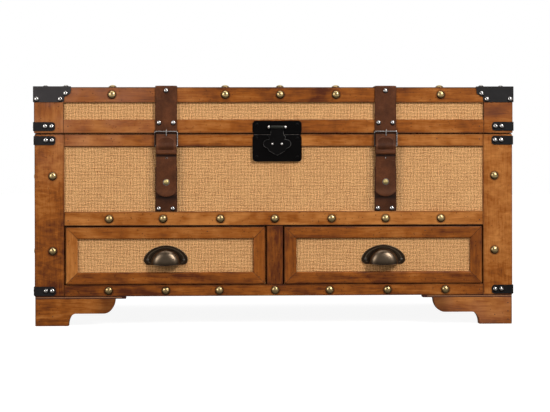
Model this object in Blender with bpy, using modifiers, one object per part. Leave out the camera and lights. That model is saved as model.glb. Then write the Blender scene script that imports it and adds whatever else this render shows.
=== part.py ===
"""Storage chest: burlap panels in wooden frames, a hinged lid, two drawers and two leather straps.

Metres, +Z up, the front towards -Y. The chest stands on z = 0 and its bounding box is
centred on x = 0 and y = 0. Left and right are as seen from the front.
"""
import math

import bmesh
import bpy
from mathutils import Matrix, Vector

# Fits
FIT = 0.0003                 # gap between pieces that touch
PLAY = 0.0004                # radial clearance of a turning pin
EDGE = 0.0010                # eased edge of the wooden pieces

# Body
BODY_WIDTH = 0.914
BODY_DEPTH = 0.450
FRAME_THICK = 0.018          # front stiles, rails and muntin
WALL_THICK = 0.0165          # side and back walls, rails included
SLAT_THICK = 0.0045          # how far the rails stand out from the burlap
STILE_WIDTH = 0.056
BOTTOM_RAIL = 0.0212
DRAWER_OPENING = 0.1125
MID_RAIL = 0.0272
PANEL_HEIGHT = 0.1246
TOP_RAIL = 0.0230
MUNTIN_WIDTH = 0.031
BOTTOM_THICK = 0.012
FLOOR_THICK = 0.008
FLOOR_RISE = 0.0035          # floor board above the top of the drawer opening
PARTITION_WEB = 0.012
GUIDE_HEIGHT = 0.016

# Feet
FOOT_HEIGHT = 0.0517
FOOT_INSET = 0.001           # foot faces behind the body's faces
FOOT_TOE = 0.0625            # length of the toe on the ground
FOOT_STEP = 0.0765           # where the scotia meets the underside
FOOT_ARCH = 0.0233           # height of the underside
FOOT_NOSE = 0.130            # where the round nose begins
FOOT_LENGTH = 0.1515
FOOT_BOARD = 0.022
FOOT_PLATE_THICK = 0.0040
FOOT_PLATE_LENGTH = 0.1715
FOOT_PLATE_WIDTH = 0.025

# Lid
SEAM = 0.0024
LID_LOWER_RAIL = 0.0254
LID_PANEL = 0.0334
LID_TOP_RAIL = 0.0290
LID_MARGIN = 0.0010          # how far the lid passes the body's sides
LID_WALL = 0.012
LID_DECK = 0.008

# Drawers
DRAWER_SIDE_GAP = 0.00275
DRAWER_HIGH_GAP = 0.0012
DRAWER_LENGTH = BODY_DEPTH - 0.060
DRAWER_FRONT = 0.012
DRAWER_BOARD = 0.0095
DRAWER_BOTTOM = 0.006
DRAWER_WALL_DROP = 0.008     # side walls below the top of the front
BOX_INSET = 0.001            # side walls inside the edges of the front
MOULD_WIDTH = 0.023
MOULD_THICK = 0.0055
MOULD_PROUD = 0.0010
MOULD_ROUND = 0.0022

# Cup pulls
PULL_HALF_WIDTH = 0.0421
PULL_ARCH = 0.0273
PULL_EAR = 0.0079
PULL_PLATE = 0.0016
CUP_HALF_WIDTH = 0.0268
CUP_HEIGHT = 0.0325
CUP_LIP_DROP = 0.0134        # lip below the line of the screws
CUP_REACH = 0.0215
CUP_WALL = 0.0016
PULL_DROP = 0.0078           # line of the screws below the drawer's middle

# Dome nails, hammered in by hand: wander is how far each one is off the even spacing
NAIL_RADIUS = 0.0073
NAIL_RISE = 0.0044
NAIL_MARGIN = 0.0845         # first nail from the end of its rail
LID_WANDER = (0.0066, None, 0.0112, 0.0107, 0.0123, None, 0.0025)
MID_WANDER = (0.0009, -0.0023, 0.0016, 0.0, 0.0034, 0.0015, 0.0025)
BOTTOM_WANDER = (-0.0003, 0.0028, -0.0006, 0.0006, -0.0004, 0.0050, 0.0110)
STILE_NAIL_LOW = 0.0862      # above the body's bottom edge
STILE_NAIL_HIGH = 0.2290
STILE_NAIL_INSET = 0.0345    # from the body's outer corner

# Leather straps
STRAP_INSET = {"left": 0.2500, "right": 0.2445}   # strap's middle from the body's side
STRAP_WIDTH = 0.0410
TAIL_WIDTH = 0.0380
LEATHER = 0.0025
STRAP_FOLD_DROP = 0.0111     # fold line below the top of the lid's lower rail
TAIL_TIP_RISE = 0.0285       # tip of the tail above the mid rail
TAIL_ROUND = 0.0110          # height of the rounded tip
BASE_LENGTH = 0.085
SNAP_RISE = 0.0565           # snap above the mid rail
SNAP_RADIUS = 0.0060
SNAP_HEIGHT = 0.0032
CHAPE_HIGH = 0.0008          # chape's top edge above the body's top edge
CHAPE_LENGTH = 0.0390
CHAPE_THICK = 0.0024
CHAPE_WIDTH = 0.0396
WIRE_RADIUS = 0.0015
BUCKLE_WIDTH = 0.0464
BUCKLE_HIGH = 0.0069         # top of the buckle above the body's top edge
BUCKLE_LENGTH = 0.0315
PRONG_RADIUS = 0.0010
PRONG_LENGTH = 0.0120
PRONG_TIP = 0.0027           # tip above the top of the buckle

# Black irons
IRON = 0.0012
CORNER_REACH = 0.0705
CORNER_NECK = 0.0575
CORNER_DEPTH = 0.0287
CORNER_LOBE = 0.0128
BAND_HEIGHT = 0.0170
BAND_LENGTH = 0.0400

# Latch
LATCH_X = 0.0045
LATCH_PLATE = 0.0015
LATCH_WIDTH = 0.0906
LATCH_LID_HEIGHT = 0.0250
LATCH_BODY_HEIGHT = 0.0499
LATCH_LID_OVERHANG = 0.0016  # lid plate below the lid's lower edge
LATCH_CORNER = 0.0070
ROD_RISE = 0.0112            # rod above the lid's lower edge
ROD_RADIUS = 0.0016
BARREL_RADIUS = 0.0030
BALL_RADIUS = 0.0026
EAR_WIDTH = 0.0020
HASP_THICK = 0.0020
HASP_NECK = 0.0252
HASP_WIDTH = 0.0530
HASP_WIDEST = 0.0318         # middle of the side lobes below the rod
HASP_LOBE = 0.0083           # radius of the side lobes
HASP_LENGTH = 0.0538
HASP_OFF = 0.0005            # hasp's running gap to the plates
STUD_RADIUS = 0.0032
STUD_SPACING = 0.0180

# Hinges
HINGE_X = BODY_WIDTH / 2 - 0.167
HINGE_WIDTH = 0.070
LEAF_HEIGHT = 0.022
LEAF_THICK = 0.0015
KNUCKLE_RADIUS = 0.0042
KNUCKLES = 5
PIN_RADIUS = 0.0018

# Folding lid stay, a rhombus with the hinge line
STAY_REACH = BODY_DEPTH / 2 - 0.095   # pivots forward of the hinge line
STAY_DROP = 0.045            # pivots above and below the hinge line
STAY_WIDTH = 0.012
STAY_THICK = 0.0020
STAY_OFF = 0.0010            # upper arm's gap to the wall
STAY_SPACE = 0.0004          # gap between the arms
RIVET_RADIUS = 0.0025
RIVET_PLAY = 0.0007

# Places worked out from the sizes
HALF = BODY_WIDTH / 2
PULL_FRONT = MOULD_PROUD - MOULD_THICK + FIT + PULL_PLATE + CUP_REACH
HINGE_BACK = FIT + 2 * KNUCKLE_RADIUS
FRONT_Y = (PULL_FRONT - HINGE_BACK - BODY_DEPTH) / 2
BACK_Y = FRONT_Y + BODY_DEPTH
STILE_X = HALF - STILE_WIDTH
INNER_X = HALF - WALL_THICK
INNER_FRONT = FRONT_Y + FRAME_THICK
INNER_BACK = BACK_Y - WALL_THICK

BODY_LOW = FOOT_HEIGHT + FOOT_PLATE_THICK + FIT
OPENING_LOW = BODY_LOW + BOTTOM_RAIL
OPENING_HIGH = OPENING_LOW + DRAWER_OPENING
MID_HIGH = OPENING_HIGH + MID_RAIL
PANEL_HIGH = MID_HIGH + PANEL_HEIGHT
BODY_HIGH = PANEL_HIGH + TOP_RAIL

LID_LOW = BODY_HIGH + SEAM
LID_RAIL_HIGH = LID_LOW + LID_LOWER_RAIL
LID_PANEL_HIGH = LID_RAIL_HIGH + LID_PANEL
LID_HIGH = LID_PANEL_HIGH + LID_TOP_RAIL
LID_HALF = HALF + LID_MARGIN
SHELL_X = LID_HALF - SLAT_THICK - FIT
SHELL_FRONT = FRONT_Y + SLAT_THICK + FIT
SHELL_BACK = BACK_Y - SLAT_THICK - FIT
SHELL_LOW = BODY_HIGH + FIT
SHELL_HIGH = LID_HIGH - SLAT_THICK - FIT

HINGE_Y = BACK_Y + FIT + KNUCKLE_RADIUS
HINGE_Z = BODY_HIGH + SEAM / 2
LEATHER_FRONT = FRONT_Y - FIT - LEATHER
STRAP_FOLD = LID_RAIL_HIGH - STRAP_FOLD_DROP
ROD_Y = FRONT_Y - FIT - LATCH_PLATE - HASP_OFF - BARREL_RADIUS
ROD_Z = LID_LOW + ROD_RISE

SIDES = {"left": -1, "right": 1}
ENDS = {"front": -1, "rear": 1}
STRAP_X = {word: side * (HALF - STRAP_INSET[word]) for word, side in SIDES.items()}

# An outline's two coordinates and its thickness, turned into the three directions
PLANES = {
    "front": Matrix(((1, 0, 0), (0, 0, -1), (0, 1, 0))),   # outline in x and z
    "side": Matrix(((0, 0, 1), (1, 0, 0), (0, 1, 0))),     # outline in y and z
    "plan": Matrix(((1, 0, 0), (0, 1, 0), (0, 0, 1))),     # outline in x and y
}
THICKNESS_AXIS = {"front": "y", "side": "x", "plan": "z"}


def finish(name, colour, roughness, metallic=0.0):
    """A material of one colour."""
    material = bpy.data.materials.new(name)
    material.use_nodes = True
    shader = material.node_tree.nodes["Principled BSDF"]
    shader.inputs["Base Color"].default_value = (*colour, 1.0)
    shader.inputs["Roughness"].default_value = roughness
    shader.inputs["Metallic"].default_value = metallic
    return material


def clear_scene():
    for obj in list(bpy.data.objects):
        bpy.data.objects.remove(obj, do_unlink=True)


def collection(name):
    made = bpy.data.collections.new(name)
    bpy.context.scene.collection.children.link(made)
    return made


def add_object(name, mesh, material, place=(0.0, 0.0, 0.0)):
    """A named piece of the chest, or a helper shape when it has no material."""
    obj = bpy.data.objects.new(name, mesh)
    obj.location = place
    if material is None:
        HELPERS.objects.link(obj)
        obj.hide_render = True
        obj.display_type = "WIRE"
    else:
        mesh.materials.append(material)
        CHEST.objects.link(obj)
    return obj


def mesh_from(bm, name):
    mesh = bpy.data.meshes.new(name)
    bm.to_mesh(mesh)
    bm.free()
    return mesh


def bevel(obj, width, segments=1):
    """Ease the outward edges of a piece. Its inward corners stay square."""
    modifier = obj.modifiers.new("eased edges", "BEVEL")
    modifier.width = width
    modifier.segments = segments
    if len(obj.modifiers) > 1:
        modifier.limit_method = "ANGLE"
        modifier.angle_limit = math.radians(40)
        return
    bm = bmesh.new()
    bm.from_mesh(obj.data)
    weight = bm.edges.layers.float.new("bevel_weight_edge")
    for edge in bm.edges:
        edge[weight] = 1.0 if edge.calc_face_angle_signed(0.0) > math.radians(40) else 0.0
    bm.to_mesh(obj.data)
    bm.free()
    modifier.limit_method = "WEIGHT"


def combine(obj, helper, operation):
    modifier = obj.modifiers.new(helper.name, "BOOLEAN")
    modifier.operation = operation
    modifier.object = helper
    modifier.solver = "EXACT"


def fuse(obj, *helpers):
    for helper in helpers:
        combine(obj, helper, "UNION")


def cut(obj, *helpers):
    for helper in helpers:
        combine(obj, helper, "DIFFERENCE")


def block(name, low, high, material=None, eased=0.0, segments=1):
    """A box between two corners."""
    low, high = Vector(low), Vector(high)
    bm = bmesh.new()
    bmesh.ops.create_cube(bm, size=1.0)
    bmesh.ops.scale(bm, vec=high - low, verts=bm.verts)
    obj = add_object(name, mesh_from(bm, name), material, (low + high) / 2)
    if eased:
        bevel(obj, eased, segments)
    return obj


def round_bar(name, start, end, radius, material=None, sides=16):
    """A cylinder from one point to another."""
    start, end = Vector(start), Vector(end)
    bm = bmesh.new()
    bmesh.ops.create_cone(bm, cap_ends=True, segments=sides, radius1=radius, radius2=radius,
                          depth=(end - start).length)
    turn = (end - start).to_track_quat("Z", "Y").to_matrix()
    bmesh.ops.rotate(bm, cent=(0, 0, 0), matrix=turn, verts=bm.verts)
    return add_object(name, mesh_from(bm, name), material, (start + end) / 2)


def ball(name, centre, radius, material=None, rings=8, sides=12):
    bm = bmesh.new()
    bmesh.ops.create_uvsphere(bm, u_segments=sides, v_segments=rings, radius=radius)
    return add_object(name, mesh_from(bm, name), material, centre)


def domes(name, places, outward, radius, rise, sides=10):
    """Nail heads: low domes on a face, with a shallow foot that reaches into it."""
    turn = Vector(outward).to_track_quat("Z", "Y").to_matrix().to_4x4()
    foot = 0.15
    bm = bmesh.new()
    for place in places:
        made = bmesh.ops.create_uvsphere(bm, u_segments=sides, v_segments=6, radius=1.0)
        for vert in made["verts"]:
            vert.co.x *= radius
            vert.co.y *= radius
            vert.co.z *= rise if vert.co.z > 0 else rise * foot
        bmesh.ops.transform(bm, matrix=Matrix.Translation(place) @ turn, verts=made["verts"])
    return add_object(name, mesh_from(bm, name), None)


def rounded(corners, steps=4):
    """An outline from (u, v) or (u, v, radius) corners: a radius becomes an arc."""
    outline = []
    count = len(corners)
    for index, corner in enumerate(corners):
        point = Vector(corner[:2])
        radius = corner[2] if len(corner) > 2 else 0.0
        if not radius:
            outline.append(point)
            continue
        before = (Vector(corners[index - 1][:2]) - point).normalized()
        after = (Vector(corners[(index + 1) % count][:2]) - point).normalized()
        half_angle = before.angle(after) / 2
        reach = radius / math.tan(half_angle)
        centre = point + (before + after).normalized() * radius / math.sin(half_angle)
        start, end = point + before * reach - centre, point + after * reach - centre
        sweep = start.angle_signed(end)
        for step in range(steps + 1):
            turned = start.copy()
            turned.rotate(Matrix.Rotation(-sweep * step / steps, 2))
            outline.append(centre + turned)
    return outline


def ellipse_arc(centre, radii, start, end, steps):
    """Points on an ellipse, angles in degrees from the u axis."""
    points = []
    for step in range(steps + 1):
        angle = math.radians(start + (end - start) * step / steps)
        points.append(Vector((centre[0] + radii[0] * math.cos(angle),
                              centre[1] + radii[1] * math.sin(angle))))
    return points


def flat_piece(name, outlines, plane, low, high, material=None, eased=0.0, segments=1):
    """A flat outline, given in its plane, filled and made thick from low to high."""
    points = [point for outline in outlines for point in outline]
    middle = Vector([(min(p[i] for p in points) + max(p[i] for p in points)) / 2 for i in (0, 1)])
    curve = bpy.data.curves.new(name, "CURVE")
    curve.dimensions = "2D"
    curve.fill_mode = "BOTH"
    curve.extrude = (high - low) / 2
    for outline in outlines:
        spline = curve.splines.new("POLY")
        spline.points.add(len(outline) - 1)
        for target, point in zip(spline.points, outline):
            target.co = (point[0] - middle[0], point[1] - middle[1], 0.0, 1.0)
        spline.use_cyclic_u = True
    drawn = bpy.data.objects.new(name + "_outline", curve)
    HELPERS.objects.link(drawn)
    graph = bpy.context.evaluated_depsgraph_get()
    mesh = bpy.data.meshes.new_from_object(drawn.evaluated_get(graph))
    bpy.data.objects.remove(drawn, do_unlink=True)

    bm = bmesh.new()
    bm.from_mesh(mesh)
    bmesh.ops.remove_doubles(bm, verts=bm.verts, dist=0.00001)
    bmesh.ops.dissolve_limit(bm, angle_limit=math.radians(0.5), verts=bm.verts, edges=bm.edges)
    bmesh.ops.recalc_face_normals(bm, faces=bm.faces)
    bmesh.ops.rotate(bm, cent=(0, 0, 0), matrix=PLANES[plane], verts=bm.verts)
    bm.to_mesh(mesh)
    bm.free()
    mesh.name = name

    place = [0.0, 0.0, 0.0]
    thick = "xyz".index(THICKNESS_AXIS[plane])
    across = [axis for axis in (0, 1, 2) if axis != thick]
    place[across[0]], place[across[1]] = middle
    place[thick] = (low + high) / 2
    obj = add_object(name, mesh, material, place)
    if eased:
        bevel(obj, eased, segments)
    return obj


def wire_ring(name, half_width, low, high, centre, radius, material):
    """A closed wire in the front plane with rounded corners, as a mesh."""
    corner = radius * 1.4
    outline = rounded([(-half_width, low, corner), (half_width, low, corner),
                       (half_width, high, corner), (-half_width, high, corner)], steps=3)
    curve = bpy.data.curves.new(name, "CURVE")
    curve.dimensions = "3D"
    curve.bevel_depth = radius
    curve.bevel_resolution = 1
    spline = curve.splines.new("POLY")
    spline.points.add(len(outline) - 1)
    for target, point in zip(spline.points, outline):
        target.co = (point[0], 0.0, point[1], 1.0)
    spline.use_cyclic_u = True
    drawn = bpy.data.objects.new(name + "_wire", curve)
    HELPERS.objects.link(drawn)
    graph = bpy.context.evaluated_depsgraph_get()
    mesh = bpy.data.meshes.new_from_object(drawn.evaluated_get(graph))
    bpy.data.objects.remove(drawn, do_unlink=True)
    bm = bmesh.new()
    bm.from_mesh(mesh)
    bmesh.ops.recalc_face_normals(bm, faces=bm.faces)
    bm.to_mesh(mesh)
    bm.free()
    return add_object(name, mesh, material, centre)


def span(first, second):
    return min(first, second), max(first, second)


def side_block(name, side, outer, inner, front, back, low, high, material=None, eased=0.0):
    """A block placed by its distances from the middle plane, on one side."""
    x_low, x_high = span(side * outer, side * inner)
    return block(name, (x_low, front, low), (x_high, back, high), material, eased)


def nail_row(wander):
    """Places along a front rail, evenly spaced and then off by each nail's own wander."""
    rail_end = STILE_X - NAIL_MARGIN
    pitch = 2 * rail_end / (len(wander) - 1)
    return [-rail_end + pitch * index + off for index, off in enumerate(wander) if off is not None]


def nail_front(obj, xs, z, face=None):
    face = FRONT_Y if face is None else face
    fuse(obj, domes(obj.name + "_nails", [(x, face, z) for x in xs], (0, -1, 0), NAIL_RADIUS, NAIL_RISE))


def build_posts():
    """Four corner posts, each a front or back stile and a side stile in one angle."""
    for end, direction in ENDS.items():
        face = FRONT_Y if direction < 0 else BACK_Y
        arm = FRAME_THICK if direction < 0 else WALL_THICK
        for word, side in SIDES.items():
            plan = [(0, 0), (STILE_WIDTH, 0), (STILE_WIDTH, arm), (WALL_THICK, arm),
                    (WALL_THICK, STILE_WIDTH), (0, STILE_WIDTH)]
            outline = [(side * (HALF - u), face - direction * v) for u, v in plan]
            post = flat_piece(f"corner_post_{end}_{word}", [outline], "plan", BODY_LOW, BODY_HIGH,
                              WOOD, EDGE)
            heights = (BODY_LOW + STILE_NAIL_LOW, BODY_LOW + STILE_NAIL_HIGH)
            across = side * (HALF - STILE_NAIL_INSET)
            along = face - direction * STILE_NAIL_INSET
            fuse(post,
                 domes(post.name + "_face_nails", [(across, face, z) for z in heights],
                       (0, direction, 0), NAIL_RADIUS, NAIL_RISE),
                 domes(post.name + "_side_nails", [(side * HALF, along, z) for z in heights],
                       (side, 0, 0), NAIL_RADIUS, NAIL_RISE))


def build_front():
    """Rails and muntin of the front frame, and the burlap panel above the drawers."""
    reach = STILE_X - FIT
    rails = {
        "front_bottom_rail": (BODY_LOW, OPENING_LOW, BOTTOM_WANDER),
        "front_mid_rail": (OPENING_HIGH, MID_HIGH, MID_WANDER),
        "front_top_rail": (PANEL_HIGH, BODY_HIGH, None),
    }
    for name, (low, high, wander) in rails.items():
        rail = block(name, (-reach, FRONT_Y, low), (reach, INNER_FRONT, high), WOOD, EDGE)
        if wander:
            nail_front(rail, nail_row(wander), (low + high) / 2)
    block("drawer_muntin", (-MUNTIN_WIDTH / 2, FRONT_Y, OPENING_LOW + FIT),
          (MUNTIN_WIDTH / 2, INNER_FRONT, OPENING_HIGH - FIT), WOOD, EDGE)
    block("front_panel", (-reach, FRONT_Y + SLAT_THICK, MID_HIGH + FIT),
          (reach, INNER_FRONT, PANEL_HIGH - FIT), BURLAP)


def wall_profile():
    """Section of a side or back wall: (depth from the outer face, height)."""
    low_rail = BODY_LOW + BOTTOM_RAIL
    return [(0, BODY_LOW), (0, low_rail), (SLAT_THICK, low_rail), (SLAT_THICK, PANEL_HIGH),
            (0, PANEL_HIGH), (0, BODY_HIGH), (WALL_THICK, BODY_HIGH), (WALL_THICK, BODY_LOW)]


def build_walls():
    """Side and back walls: a burlap board with the top and bottom rails glued on."""
    rail_middle = BODY_LOW + BOTTOM_RAIL / 2
    front, back = FRONT_Y + STILE_WIDTH + FIT, BACK_Y - STILE_WIDTH - FIT
    for word, side in SIDES.items():
        outline = [(side * (HALF - depth), z) for depth, z in wall_profile()]
        wall = flat_piece(f"side_panel_{word}", [outline], "front", front, back, BURLAP, EDGE)
        ys = [front + (back - front) * share for share in (0.2, 0.5, 0.8)]
        fuse(wall, domes(wall.name + "_nails", [(side * HALF, y, rail_middle) for y in ys],
                         (side, 0, 0), NAIL_RADIUS, NAIL_RISE))
    outline = [(BACK_Y - depth, z) for depth, z in wall_profile()]
    reach = STILE_X - FIT
    wall = flat_piece("back_panel", [outline], "side", -reach, reach, BURLAP, EDGE)
    fuse(wall, domes("back_panel_nails", [(x, BACK_Y, rail_middle) for x in nail_row((0,) * 7)],
                     (0, 1, 0), NAIL_RADIUS, NAIL_RISE))


def build_inside():
    """Boards inside the body: bottom, partition with its guide, side guides and floor."""
    reach = INNER_X - FIT
    front, back = INNER_FRONT + FIT, INNER_BACK - FIT
    block("bottom_board", (-reach, front, OPENING_LOW - BOTTOM_THICK), (reach, back, OPENING_LOW), PLAIN)
    guide_low, guide_high = OPENING_LOW + FIT, OPENING_LOW + FIT + GUIDE_HEIGHT
    floor_low = OPENING_HIGH + FLOOR_RISE
    half_web, half_guide = PARTITION_WEB / 2, MUNTIN_WIDTH / 2
    section = [(-half_guide, guide_low), (half_guide, guide_low), (half_guide, guide_high),
               (half_web, guide_high), (half_web, floor_low - FIT), (-half_web, floor_low - FIT),
               (-half_web, guide_high), (-half_guide, guide_high)]
    flat_piece("drawer_partition", [section], "front", front, back, PLAIN)
    for word, side in SIDES.items():
        side_block(f"drawer_guide_{word}", side, reach, STILE_X, front, back, guide_low, guide_high, PLAIN)
    block("compartment_floor", (-reach, front, floor_low), (reach, back, floor_low + FLOOR_THICK), PLAIN)


def foot_outline():
    """Bracket foot, seen from the face: (distance from the corner, height)."""
    scotia = ellipse_arc((FOOT_STEP, 0), (FOOT_STEP - FOOT_TOE, FOOT_ARCH), 180, 90, 8)
    nose = ellipse_arc((FOOT_NOSE, FOOT_HEIGHT), (FOOT_LENGTH - FOOT_NOSE, FOOT_HEIGHT - FOOT_ARCH),
                       -90, 0, 10)
    heel = 0.0015
    return [Vector((0, heel)), Vector((heel, 0))] + scotia + nose + [Vector((0, FOOT_HEIGHT))]


def build_feet():
    """Four bracket feet: two shaped boards in a corner and the plate that is screwed on."""
    for end, direction in ENDS.items():
        face = (FRONT_Y if direction < 0 else BACK_Y) - direction * FOOT_INSET
        for word, side in SIDES.items():
            edge = side * (HALF - FOOT_INSET)
            outline = foot_outline()
            name = f"foot_{end}_{word}"
            board_low, board_high = span(face, face - direction * FOOT_BOARD)
            foot = flat_piece(name, [[(edge - side * u, z) for u, z in outline]], "front",
                              board_low, board_high, WOOD)
            wing_low, wing_high = span(edge, edge - side * FOOT_BOARD)
            wing = flat_piece(name + "_wing", [[(face - direction * u, z) for u, z in outline]],
                              "side", wing_low, wing_high)
            length, width = FOOT_PLATE_LENGTH, FOOT_PLATE_WIDTH
            plan = [(0, 0), (length, 0), (length, width), (width, width), (width, length), (0, length)]
            plate = flat_piece(name + "_plate",
                               [[(edge - side * u, face - direction * v) for u, v in plan]],
                               "plan", FOOT_HEIGHT - FIT, FOOT_HEIGHT + FOOT_PLATE_THICK)
            fuse(foot, wing, plate)


def build_lid():
    """Lid: a hollow shell, and the frames nailed on its five faces."""
    shell = block("lid_shell", (-SHELL_X, SHELL_FRONT, SHELL_LOW), (SHELL_X, SHELL_BACK, SHELL_HIGH), BURLAP)
    cut(shell, block("lid_hollow", (-SHELL_X + LID_WALL, SHELL_FRONT + LID_WALL, SHELL_LOW - LID_WALL),
                     (SHELL_X - LID_WALL, SHELL_BACK - LID_WALL, SHELL_HIGH - LID_DECK)))

    nails_z = LID_HIGH - LID_TOP_RAIL / 2
    window_x = LID_HALF - STILE_WIDTH
    overcut = 0.01
    nail_xs = nail_row(LID_WANDER)
    for end, direction in ENDS.items():
        face = FRONT_Y if direction < 0 else BACK_Y
        low_y, high_y = span(face, face - direction * SLAT_THICK)
        name = "lid_front_frame" if direction < 0 else "lid_back_frame"
        frame = block(name, (-LID_HALF, low_y, LID_LOW), (LID_HALF, high_y, LID_HIGH), WOOD)
        cut(frame, block(name + "_window", (-window_x, low_y - overcut, LID_RAIL_HIGH),
                         (window_x, high_y + overcut, LID_PANEL_HIGH)))
        bevel(frame, EDGE)
        fuse(frame, domes(name + "_nails", [(x, face, nails_z) for x in nail_xs],
                          (0, direction, 0), NAIL_RADIUS, NAIL_RISE))

    window_front, window_back = FRONT_Y + STILE_WIDTH, BACK_Y - STILE_WIDTH
    nail_ys = [window_front + (window_back - window_front) * share for share in (0.25, 0.75)]
    for word, side in SIDES.items():
        name = f"lid_side_frame_{word}"
        frame = side_block(name, side, LID_HALF, LID_HALF - SLAT_THICK, SHELL_FRONT, SHELL_BACK,
                           LID_LOW, LID_HIGH, WOOD)
        cut(frame, side_block(name + "_window", side, LID_HALF + overcut, SHELL_X - overcut,
                              window_front, window_back, LID_RAIL_HIGH, LID_PANEL_HIGH))
        bevel(frame, EDGE)
        fuse(frame, domes(name + "_nails", [(side * LID_HALF, y, nails_z) for y in nail_ys],
                          (side, 0, 0), NAIL_RADIUS, NAIL_RISE))

    top = block("lid_top_frame", (-SHELL_X, SHELL_FRONT, LID_HIGH - SLAT_THICK),
                (SHELL_X, SHELL_BACK, LID_HIGH), WOOD)
    cut(top, block("lid_top_window",
                   (-window_x, FRONT_Y + LID_TOP_RAIL, LID_HIGH - overcut),
                   (window_x, BACK_Y - LID_TOP_RAIL, LID_HIGH + overcut)))
    bevel(top, EDGE)
    rows = (FRONT_Y + LID_TOP_RAIL / 2 + SLAT_THICK / 2, BACK_Y - LID_TOP_RAIL / 2 - SLAT_THICK / 2)
    places = [(x, y, LID_HIGH) for y in rows for x in nail_xs]
    places += [(side * (LID_HALF - STILE_NAIL_INSET), y, LID_HIGH) for side in (-1, 1) for y in nail_ys]
    fuse(top, domes("lid_top_nails", places, (0, 0, 1), NAIL_RADIUS, NAIL_RISE))


def corner_outline(start, reach, drop=0.0):
    """One wing of a lid corner: (along the edge, away from it), one lobe or two alike."""
    near, above = start
    lobe = reach - 0.001
    low = [(near, above), (reach, above), (lobe, CORNER_LOBE, 0.004), (CORNER_NECK, CORNER_LOBE + 0.006)]
    if drop:
        return rounded(low + [(CORNER_NECK, drop, 0.005), (near, drop)], steps=3)
    return rounded(low + [(CORNER_NECK, CORNER_NECK, 0.010), (CORNER_LOBE + 0.006, CORNER_NECK),
                          (CORNER_LOBE, lobe, 0.004), (near, reach)], steps=3)


def build_lid_corners():
    """Black iron corners of the lid: three wings that run into one another at the edges."""
    full, most, half = -(FIT + IRON), -(FIT + 0.75 * IRON), -(FIT + 0.5 * IRON)
    step = IRON / 8
    for end, direction in ENDS.items():
        face = FRONT_Y if direction < 0 else BACK_Y
        for word, side in SIDES.items():
            name = f"lid_corner_{end}_{word}"
            y_low, y_high = span(face + direction * FIT, face + direction * (FIT + IRON))
            x_low, x_high = span(side * (LID_HALF + FIT), side * (LID_HALF + FIT + IRON))
            wing = corner_outline((full, half), CORNER_REACH, CORNER_DEPTH)
            corner = flat_piece(name, [[(side * (LID_HALF - u), LID_HIGH - v) for u, v in wing]],
                                "front", y_low, y_high, IRON_BLACK)
            wing = corner_outline((most + step, half + step), CORNER_REACH, CORNER_DEPTH - step)
            flank = flat_piece(name + "_flank", [[(face - direction * u, LID_HIGH - v) for u, v in wing]],
                               "side", x_low, x_high)
            roof = corner_outline((most, most), CORNER_REACH - step)
            cap = flat_piece(name + "_cap",
                             [[(side * (LID_HALF - u), face - direction * v) for u, v in roof]],
                             "plan", LID_HIGH + FIT, LID_HIGH + FIT + IRON)
            fuse(corner, flank, cap)


def band(name, side, half_width, middle_z):
    """Black iron band round a front corner, with rounded ends."""
    edge = -(FIT + IRON)
    half_height = BAND_HEIGHT / 2
    arm = rounded([(edge, -half_height), (BAND_LENGTH, -half_height, 0.0055),
                   (BAND_LENGTH, half_height, 0.0055), (edge, half_height)])
    y_low, y_high = FRONT_Y - FIT - IRON, FRONT_Y - FIT
    x_low, x_high = span(side * (half_width + FIT), side * (half_width + FIT + IRON))
    made = flat_piece(name, [[(side * (half_width - u), middle_z + v) for u, v in arm]], "front",
                      y_low, y_high, IRON_BLACK)
    fuse(made, flat_piece(name + "_flank", [[(FRONT_Y + u, middle_z + v) for u, v in arm]], "side",
                          x_low, x_high))
    return made


def build_bands():
    for word, side in SIDES.items():
        band(f"body_band_lower_{word}", side, HALF, BODY_LOW + BOTTOM_RAIL / 2)
        band(f"body_band_upper_{word}", side, HALF, BODY_HIGH - TOP_RAIL / 2)
        band(f"lid_band_{word}", side, LID_HALF, LID_LOW + LID_LOWER_RAIL / 2)


def build_straps():
    """Leather straps: over the lid, the tail with its chape, the buckle and the base."""
    for word in SIDES:
        x = STRAP_X[word]
        x_low, x_high = x - STRAP_WIDTH / 2, x + STRAP_WIDTH / 2
        inner_front, inner_back, inner_top = FRONT_Y - FIT, BACK_Y + FIT, LID_HIGH + FIT
        outer_front, outer_back, outer_top = LEATHER_FRONT, inner_back + LEATHER, inner_top + LEATHER
        bend = 0.001
        outline = rounded([
            (outer_front, STRAP_FOLD + FIT), (inner_front, STRAP_FOLD + FIT),
            (inner_front, inner_top, bend), (inner_back, inner_top, bend),
            (inner_back, LID_LOW), (outer_back, LID_LOW),
            (outer_back, outer_top, bend + LEATHER), (outer_front, outer_top, bend + LEATHER)], steps=3)
        flat_piece(f"lid_strap_{word}", [outline], "side", x_low, x_high, LEATHER_BROWN)
        build_tail(word, x)
        build_buckle(word, x)

        base_low = MID_HIGH + FIT
        face = FRONT_Y + SLAT_THICK - FIT
        base = block(f"strap_base_{word}", (x_low, face - LEATHER, base_low),
                     (x_high, face, base_low + BASE_LENGTH), LEATHER_BROWN)
        fuse(base, round_bar(base.name + "_stud", (x, face - LEATHER / 2, MID_HIGH + SNAP_RISE),
                             (x, FRONT_Y, MID_HIGH + SNAP_RISE), SNAP_RADIUS, sides=12))


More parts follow.
